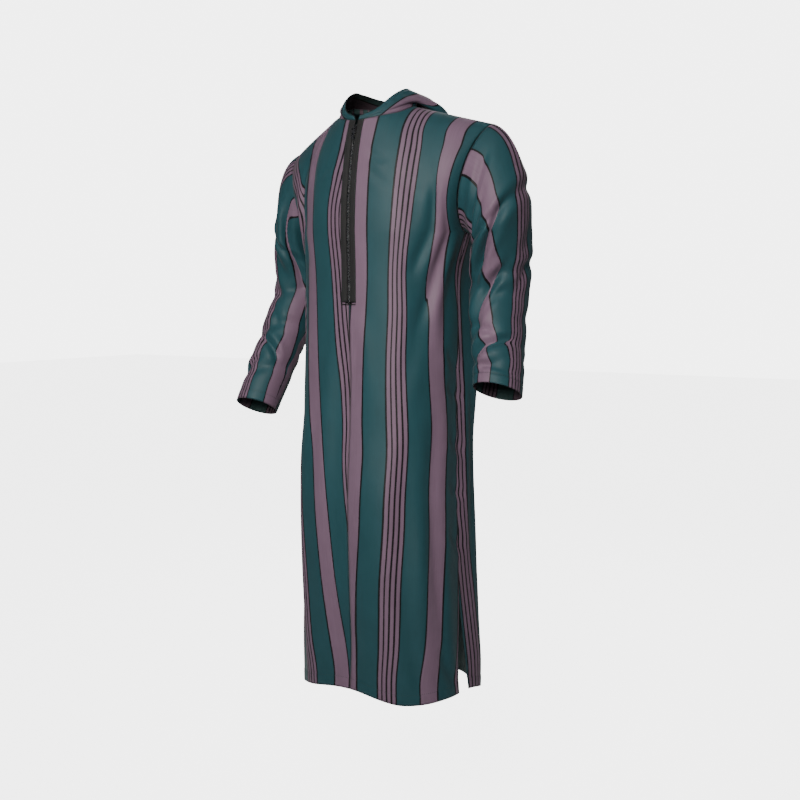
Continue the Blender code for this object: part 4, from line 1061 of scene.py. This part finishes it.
# Spun polyester thread: twisted, slightly hairy, dull
threadCloth, tree = newMaterial("polyester sewing thread")
where = addNode(tree, "ShaderNodeTexCoord")
fuzz = addNode(tree, "ShaderNodeTexNoise", {"Scale": 1500.0, "Detail": 2.0}, {"Vector": where.outputs["Object"]})
ramp = addNode(tree, "ShaderNodeValToRGB", links={0: fuzz.outputs["Fac"]})
ramp.color_ramp.elements[0].color = linear("#10211f")
ramp.color_ramp.elements[1].color = linear("#2c4442")
bump = addNode(tree, "ShaderNodeBump", {"Strength": 0.3, "Distance": 0.0001}, {"Height": fuzz.outputs["Fac"]})
addSurface(tree, {"Roughness": 0.7}, {"Base Color": ramp.outputs[0], "Normal": bump.outputs[0]})


def addPiece(name, mesh, body, nodes=()):
    made = newObject(name, mesh)
    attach(made, body)
    if nodes:
        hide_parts(*nodes)
    return made


footRow = int(np.argmax(heights >= footHeight))


def besideZip(side, away, lift):
    # Points on a front at a distance from the centre line, from the foot of the zip to the neck
    front = fronts[side]
    points, outs = [], []
    for row in range(footRow, len(heights)):
        line, ways = front["grid"][row], front["normals"][row]
        x = np.abs(line[:16, 0])
        low = line[0] + (line[1] - line[0]) * (away - x[0]) / (x[1] - x[0])
        point = low if away < x[0] else np.array([np.interp(away, x, line[:16, axis]) for axis in range(3)])
        way = np.array([np.interp(away, x, ways[:16, axis]) for axis in range(3)])
        way = way * np.array((0.0, 1.0, 1.0)) if away < 0.006 else way
        way = way / np.linalg.norm(way)
        points.append(point + way * lift)
        outs.append(way)
    return np.array(points), np.array(outs)


for side, name in ((1, "zip_tape_left"), (-1, "zip_tape_right")):
    strips, run = [], []
    for away in np.linspace(zipForm["tapeInner"], zipForm["tapeOuter"], 13):
        bead = zipForm["bead"] * math.exp(-(((away - 0.0040) / 0.0009) ** 2))
        points, outs = besideZip(side, away, zipForm["lay"] + zipForm["tapeThick"] + bead)
        strips.append(points)
        run.append(np.full(len(points), away))
    grid = np.stack(strips, axis=1)
    level = runAlong(grid, 0)
    uv = np.stack([np.stack(run, axis=1), level], axis=-1)
    mesh = gridMesh(name, grid, uv, np.zeros(grid.shape[:2]), False, side < 0)
    mesh.materials.append(tapeCloth)
    made = addPiece(name + "_woven", mesh, "robe", (name,))
    wall = made.modifiers.new("wall", "SOLIDIFY")
    wall.thickness = zipForm["tapeThick"]
    wall.offset = -1.0


def pathMesh(name, points, outs):
    mesh = bpy.data.meshes.new(name)
    count = len(points)
    mesh.from_pydata(np.asarray(points).tolist(), [(n, n + 1) for n in range(count - 1)], [])
    way = mesh.attributes.new("out", "FLOAT_VECTOR", "POINT")
    way.data.foreach_set("vector", np.asarray(outs, dtype=np.float32).ravel())
    return mesh


def repeatTree(name, unit, finish):
    # One unit set again and again along a path, standing square on the cloth
    tree = bpy.data.node_groups.new(name, "GeometryNodeTree")
    for label, kind in (("Path", "NodeSocketGeometry"), ("Pitch", "NodeSocketFloat"), ("Size", "NodeSocketVector"),
                        ("Aside", "NodeSocketFloat"), ("Lift", "NodeSocketFloat"), ("Uneven", "NodeSocketFloat")):
        tree.interface.new_socket(label, in_out="INPUT", socket_type=kind)
    tree.interface.new_socket("Row", in_out="OUTPUT", socket_type="NodeSocketGeometry")
    given = addNode(tree, "NodeGroupInput")
    curve = addNode(tree, "GeometryNodeMeshToCurve", links={0: given.outputs["Path"]})
    even = addNode(tree, "GeometryNodeResampleCurve", {"mode": "LENGTH"},
                   {"Curve": curve.outputs[0], "Length": given.outputs["Pitch"]})
    out = addNode(tree, "GeometryNodeInputNamedAttribute", {"data_type": "FLOAT_VECTOR", "Name": "out"})
    along = addNode(tree, "GeometryNodeInputTangent")
    turn = addNode(tree, "FunctionNodeAxesToRotation", {"primary_axis": "Z", "secondary_axis": "Y"},
                   {0: out.outputs["Attribute"], 1: along.outputs[0]})
    across = addNode(tree, "ShaderNodeVectorMath", {"operation": "CROSS_PRODUCT"},
                     {0: along.outputs[0], 1: out.outputs["Attribute"]})
    order = addNode(tree, "GeometryNodeInputIndex")
    parity = addNode(tree, "ShaderNodeMath", {"operation": "MODULO", 1: 2.0}, {0: order.outputs[0]})
    sign = addNode(tree, "ShaderNodeMath", {"operation": "MULTIPLY_ADD", 1: 2.0, 2: -1.0}, {0: parity.outputs[0]})
    step = addNode(tree, "ShaderNodeMath", {"operation": "MULTIPLY"}, {0: sign.outputs[0], 1: given.outputs["Aside"]})
    sideways = addNode(tree, "ShaderNodeVectorMath", {"operation": "SCALE"},
                       {0: across.outputs[0], "Scale": step.outputs[0]})
    upward = addNode(tree, "ShaderNodeVectorMath", {"operation": "SCALE"},
                     {0: out.outputs["Attribute"], "Scale": given.outputs["Lift"]})
    offset = addNode(tree, "ShaderNodeVectorMath", {"operation": "ADD"},
                     {0: sideways.outputs[0], 1: upward.outputs[0]})
    placed = addNode(tree, "GeometryNodeSetPosition", links={"Geometry": even.outputs[0], "Offset": offset.outputs[0]})
    chance = addNode(tree, "FunctionNodeRandomValue", {"data_type": "FLOAT", "Seed": 7, 2: -1.0, 3: 1.0})
    change = addNode(tree, "ShaderNodeMath", {"operation": "MULTIPLY_ADD", 2: 1.0},
                     {0: chance.outputs[1], 1: given.outputs["Uneven"]})
    size = addNode(tree, "ShaderNodeVectorMath", {"operation": "SCALE"},
                   {0: given.outputs["Size"], "Scale": change.outputs[0]})
    shape = addNode(tree, "GeometryNodeObjectInfo", {"Object": unit})
    copies = addNode(tree, "GeometryNodeInstanceOnPoints", links={
        "Points": placed.outputs[0], "Instance": shape.outputs["Geometry"], "Rotation": turn.outputs[0],
        "Scale": size.outputs[0],
    })
    real = addNode(tree, "GeometryNodeRealizeInstances", links={0: copies.outputs[0]})
    dressed = addNode(tree, "GeometryNodeSetMaterial", {"Material": finish}, {"Geometry": real.outputs[0]})
    addNode(tree, "NodeGroupOutput", links={0: dressed.outputs[0]})
    return tree


def repeated(name, paths, tree, finish, values):
    # Sets the named inputs by their identifiers, then keeps the result as a plain mesh
    wanted = {item.name: item.identifier for item in tree.interface.items_tree if item.in_out == "INPUT"}
    bm = bmesh.new()
    for points, outs in paths:
        holder = newObject("path", pathMesh("path", points, outs))
        work = holder.modifiers.new("row", "NODES")
        work.node_group = tree
        for label, value in values.items():
            work[wanted[label]] = value
        graph = bpy.context.evaluated_depsgraph_get()
        result = bpy.data.meshes.new_from_object(holder.evaluated_get(graph))
        bm.from_mesh(result)
        bpy.data.objects.remove(holder)
        bpy.data.meshes.remove(result)
    for face in bm.faces:
        face.material_index = 0
    mesh = meshFrom(bm, name)
    mesh.materials.append(finish)
    mesh.shade_smooth()
    return mesh


def unitObject(name, kind):
    bm = bmesh.new()
    if kind == "tooth":
        bmesh.ops.create_cube(bm, size=1.0)
        bmesh.ops.bevel(bm, geom=bm.edges[:], offset=0.16, segments=1, affect="EDGES")
    else:
        bmesh.ops.create_uvsphere(bm, u_segments=6, v_segments=4, radius=0.5)
        bmesh.ops.rotate(bm, verts=bm.verts, matrix=Matrix.Rotation(math.pi / 2, 3, "X"))
    return newObject(name, meshFrom(bm, name))


toothUnit = unitObject("one tooth", "tooth")
stitchUnit = unitObject("one stitch", "stitch")
teethTree = repeatTree("zip teeth along a path", toothUnit, toothMetal)
stitchTree = repeatTree("stitches along a path", stitchUnit, threadCloth)

leftEdge, leftOut = besideZip(1, 0.0030, 0.0)
rightEdge, rightOut = besideZip(-1, 0.0030, 0.0)
middle = (leftEdge + rightEdge) / 2.0 * np.array((0.0, 1.0, 1.0))
middleOut = leftOut + rightOut
middleOut = middleOut / np.linalg.norm(middleOut, axis=1, keepdims=True)
kept = middle[:, 2] < zipForm["teethTop"] - 0.0005
teethMesh = repeated("zip_teeth", [(middle[kept], middleOut[kept])], teethTree, toothMetal, {
    "Pitch": zipForm["toothPitch"] / 2.0, "Size": zipForm["toothSize"], "Aside": zipForm["toothAside"],
    "Lift": zipForm["toothLift"], "Uneven": 0.0,
})
addPiece("zip_teeth_row", teethMesh, "robe", ("zip_teeth",))


def softBox(name, size, bevel, segments, place):
    bm = bmesh.new()
    bmesh.ops.create_cube(bm, size=1.0, matrix=Matrix.Diagonal((*size, 1.0)))
    bmesh.ops.bevel(bm, geom=bm.edges[:], offset=bevel, segments=segments, affect="EDGES")
    bmesh.ops.transform(bm, verts=bm.verts, matrix=place)
    layer = bm.loops.layers.uv.new("cut")
    for face in bm.faces:
        for loop in face.loops:
            loop[layer].uv = (loop.vert.co.x, loop.vert.co.z)
    mesh = meshFrom(bm, name)
    mesh.shade_smooth()
    return mesh


barLow, barHigh = (Vector(corner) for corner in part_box("zip_end_bar"))
barMesh = softBox("zip_end_bar", zipForm["endBar"], 0.0006, 3, Matrix.Translation((barLow + barHigh) / 2.0))
barMesh.materials.append(tapeCloth)
addPiece("zip_end_bar_bound", barMesh, "robe", ("zip_end_bar",))

lean = math.radians(zipForm["lean"])
upWay = Vector((0.0, math.sin(lean), math.cos(lean)))
outWay = Vector((0.0, -math.cos(lean), math.sin(lean)))
sliderFrame = Matrix((
    (1.0, upWay.x, outWay.x, zipForm["pullPin"][0]),
    (0.0, upWay.y, outWay.y, zipForm["pullPin"][1]),
    (0.0, upWay.z, outWay.z, zipForm["pullPin"][2]),
    (0.0, 0.0, 0.0, 1.0),
))


def flatShape(name, outlines, thick, bevel):
    # A flat shape with rounded edges, cut with its holes
    curve = bpy.data.curves.new(name, "CURVE")
    curve.dimensions = "2D"
    curve.fill_mode = "BOTH"
    curve.extrude = thick / 2.0 - bevel
    curve.bevel_depth = bevel
    curve.bevel_resolution = 2
    curve.offset = -bevel
    for points in outlines:
        spline = curve.splines.new("POLY")
        spline.points.add(len(points) - 1)
        spline.use_cyclic_u = True
        for spot, (x, y) in zip(spline.points, points):
            spot.co = (x, y, 0.0, 1.0)
    holder = newObject(name, curve)
    graph = bpy.context.evaluated_depsgraph_get()
    mesh = bpy.data.meshes.new_from_object(holder.evaluated_get(graph))
    bpy.data.objects.remove(holder)
    bpy.data.curves.remove(curve)
    return mesh


def roundedCorners(corners, radius, steps=4):
    points = []
    count = len(corners)
    for number, corner in enumerate(corners):
        here = np.array(corner)
        before, after = np.array(corners[number - 1]), np.array(corners[(number + 1) % count])
        back, on = before - here, after - here
        cutBack = min(radius, np.linalg.norm(back) * 0.45, np.linalg.norm(on) * 0.45)
        start = here + back / np.linalg.norm(back) * cutBack
        stop = here + on / np.linalg.norm(on) * cutBack
        for t in np.linspace(0.0, 1.0, steps + 1):
            points.append(tuple((1 - t) ** 2 * start + 2 * t * (1 - t) * here + t * t * stop))
    return points


def mergeInto(bm, mesh, matrix):
    part = bmesh.new()
    part.from_mesh(mesh)
    bmesh.ops.remove_doubles(part, verts=part.verts, dist=1e-6)
    bmesh.ops.transform(part, verts=part.verts, matrix=matrix)
    bmesh.ops.recalc_face_normals(part, faces=part.faces)
    held = meshFrom(part, "part")
    bm.from_mesh(held)
    bpy.data.meshes.remove(held)


# The slider: a shield-shaped plate over the teeth, one under them, and an arch for the pull
half, tall, thick = zipForm["plate"]
shield = [(-half * 0.72, tall), (half * 0.72, tall), (half, tall * 0.25), (half * 0.86, -tall), (-half * 0.86, -tall),
          (-half, tall * 0.25)]
plate = flatShape("slider plate", [roundedCorners(shield, 0.0018)], thick, 0.00035)
bm = bmesh.new()
overTeeth = sliderFrame @ Matrix.Translation((0.0, 0.0, -zipForm["plateBelow"] + thick * 0.5 - 0.0005))
underTeeth = sliderFrame @ Matrix.Translation((0.0, 0.0, -zipForm["plateBelow"] - 0.0052))
mergeInto(bm, plate, overTeeth)
mergeInto(bm, plate, underTeeth @ Matrix.Scale(0.92, 4))
reachUp, rise, tube = zipForm["arch"]
rings = []
for turn in np.linspace(0.0, math.pi, 15):
    way = Vector((0.0, math.cos(turn), math.sin(turn)))
    centre = Vector((0.0, reachUp * math.cos(turn), -0.0012 + (rise - 0.0004) * abs(math.sin(turn)) ** 0.6))
    ring = []
    for around in np.linspace(0.0, 2.0 * math.pi, 13)[:-1]:
        flat = Vector((math.cos(around) * tube * 1.5, 0.0, 0.0)) + way * math.sin(around) * tube
        ring.append(bm.verts.new(sliderFrame @ (centre + flat)))
    rings.append(ring)
for first, second in zip(rings, rings[1:]):
    for number in range(12):
        after = (number + 1) % 12
        bm.faces.new((first[number], first[after], second[after], second[number]))
for ring in (rings[0][::-1], rings[-1]):
    bm.faces.new(ring)
bmesh.ops.recalc_face_normals(bm, faces=bm.faces)
sliderMesh = meshFrom(bm, "zip_slider")
sliderMesh.materials.append(platedZinc)
sliderMesh.shade_smooth()
addPiece("zip_slider_cast", sliderMesh, "robe", ("zip_slider",))

outline = [(-x, y) for x, y in zipForm["tab"]][::-1] + list(zipForm["tab"])
wide, high, low = zipForm["window"]
window = [(-wide, high), (wide, high), (wide, low), (-wide, low)]
tabMesh = flatShape("pull tab", [roundedCorners(outline[::-1], 0.0014), roundedCorners(window, 0.0009)],
                    zipForm["tabThick"], 0.00028)
bm = bmesh.new()
mergeInto(bm, tabMesh, sliderFrame)
pullMesh = meshFrom(bm, "zip_pull")
pullMesh.materials.append(platedZinc)
pullMesh.shade_smooth()
addPiece("zip_pull_tab", pullMesh, "zip_pull", ("zip_pull",))

print("robe: stitches")
stitchForm = {"pitch": 0.0042, "size": (0.0006, 0.0030, 0.00045), "lift": 0.0001, "uneven": 0.08}


def lineFromEdge(part, axis, end, far, keepWhere=None):
    # A line on a piece, a distance in from one of its edges
    grid, ways = np.moveaxis(part["grid"], axis, 0), np.moveaxis(part["normals"], axis, 0)
    if end:
        grid, ways = grid[::-1], ways[::-1]
    run = runAlong(grid, 0)
    points, outs = [], []
    for number in range(grid.shape[1]):
        point = np.array([np.interp(far, run[:, number], grid[:, number, k]) for k in range(3)])
        out = np.array([np.interp(far, run[:, number], ways[:, number, k]) for k in range(3)])
        if keepWhere is None or keepWhere(point):
            points.append(point)
            outs.append(out / np.linalg.norm(out))
    return np.array(points), np.array(outs)


def closed(line):
    return tuple(np.concatenate([values, values[:1]]) for values in line)


def underSlit(point):
    return point[2] < bodyForm["slitTop"] + 0.004 and point[2] > bodyForm["hemLevel"] + 0.012


backSheet = {"grid": backGrid, "normals": gridNormals(backGrid, False, True)}
# Metres from an edge to its line of stitches, and on the tape from the centre line
stitchIn = {"hem": 0.0212, "slit": 0.008, "cuff": 0.0192, "rim": 0.0112, "tape": 0.0152}


def hemAndSlits(part, slitEnds):
    hem = lineFromEdge(part, 0, False, stitchIn["hem"])
    return [hem] + [lineFromEdge(part, 1, end, stitchIn["slit"], underSlit) for end in slitEnds]


bothSides = ((1, "left"), (-1, "right"))
stitchRows = {"front_" + word: hemAndSlits(fronts[side], (True,)) for side, word in bothSides}
stitchRows["back"] = hemAndSlits(backSheet, (True, False))
for side, word in bothSides:
    stitchRows["sleeve_" + word] = [closed(lineFromEdge(sleeves[side], 0, True, stitchIn["cuff"]))]
for side, word in bothSides:
    stitchRows["hood_" + word] = [lineFromEdge(hoods[side], 0, True, stitchIn["rim"])]
for side, word in bothSides:
    stitchRows["zip_tape_" + word] = [besideZip(side, stitchIn["tape"], zipForm["lay"] + zipForm["tapeThick"])]
for name, paths in stitchRows.items():
    mesh = repeated(name + "_stitches", paths, stitchTree, threadCloth, {
        "Pitch": stitchForm["pitch"], "Size": stitchForm["size"], "Aside": 0.0, "Lift": stitchForm["lift"],
        "Uneven": stitchForm["uneven"],
    })
    addPiece(name + "_stitches", mesh, "robe")
for unit in (toothUnit, stitchUnit):
    bpy.data.objects.remove(unit)

print("robe: camera, light and floor")
view = {
    "place": (1.525, -2.348, -0.34),
    "turn": (87.5, 0.0, 33.0),
    "lens": 61.2,
    "shift": (0.0125, -0.072),
    "floorLevel": -1.50,
}
camera = newObject("camera", bpy.data.cameras.new("camera"))
camera.location = view["place"]
camera.rotation_euler = [math.radians(angle) for angle in view["turn"]]
camera.data.lens = view["lens"]
camera.data.sensor_width = 36.0
camera.data.shift_x, camera.data.shift_y = view["shift"]
camera.data.clip_end = 50.0
bpy.context.scene.camera = camera

lights = {  # place, what it points at, size, watts, degrees of spread, colour
    "key": ((0.72, -2.20, 0.42), (0.0, 0.0, -0.55), 1.1, 10.4, 62, "#fffaf2"),
    "fill": ((-1.2, -3.0, 1.0), (0.0, 0.0, -0.5), 2.2, 6.0, 180, "#f2f6ff"),
    "top": ((0.3, -1.0, 1.7), (0.0, 0.0, -0.5), 1.1, 6.0, 180, "#ffffff"),
    "rim": ((-0.8, 2.6, 1.2), (0.0, 0.0, -0.5), 2.0, 34.0, 180, "#ffffff"),
}
studio = {"skyForCamera": 5.0, "skyForLight": 0.14, "floorForCamera": 4.2}
for name, (place, target, size, watts, spread, colour) in lights.items():
    lamp = bpy.data.lights.new(name, "AREA")
    lamp.energy = watts
    lamp.size = size
    lamp.spread = math.radians(spread)
    lamp.color = linear(colour)[:3]
    made = newObject(name, lamp)
    made.location = place
    made.rotation_euler = (Vector(target) - Vector(place)).to_track_quat("-Z", "Y").to_euler()

world = bpy.data.worlds.new("studio")
bpy.context.scene.world = world
world.use_nodes = True
background = world.node_tree.nodes["Background"]
background.inputs["Color"].default_value = linear("#ffffff")
seen = addNode(world.node_tree, "ShaderNodeLightPath")
level = addNode(world.node_tree, "ShaderNodeMapRange", {3: studio["skyForLight"], 4: studio["skyForCamera"]},
                {0: seen.outputs["Is Camera Ray"]})
world.node_tree.links.new(level.outputs[0], background.inputs["Strength"])

floorMaterial, tree = newMaterial("matt white studio floor")
grain = addNode(tree, "ShaderNodeTexNoise", {"Scale": 3.0, "Detail": 2.0})
tone = addNode(tree, "ShaderNodeMapRange", {1: 0.0, 2: 1.0, 3: 0.88, 4: 0.92}, {0: grain.outputs["Fac"]})
paint = addNode(tree, "ShaderNodeCombineColor", links={
    "Red": tone.outputs[0], "Green": tone.outputs[0], "Blue": tone.outputs[0],
})
direct = addNode(tree, "ShaderNodeLightPath")  # a white sweep that lights nothing itself
glow = addNode(tree, "ShaderNodeMapRange", {3: 0.0, 4: studio["floorForCamera"]}, {0: direct.outputs["Is Camera Ray"]})
addSurface(tree, {"Roughness": 0.9, "Emission Color": linear("#ffffff")},
           {"Base Color": paint.outputs[0], "Emission Strength": glow.outputs[0]})
floorMesh = bpy.data.meshes.new("floor")
reach = 14.0
floorMesh.from_pydata(
    [(x * reach, y * reach, view["floorLevel"]) for x, y in ((-1, -1), (1, -1), (1, 1), (-1, 1))], [], [(0, 1, 2, 3)]
)
floorMesh.materials.append(floorMaterial)
newObject("floor", floorMesh)
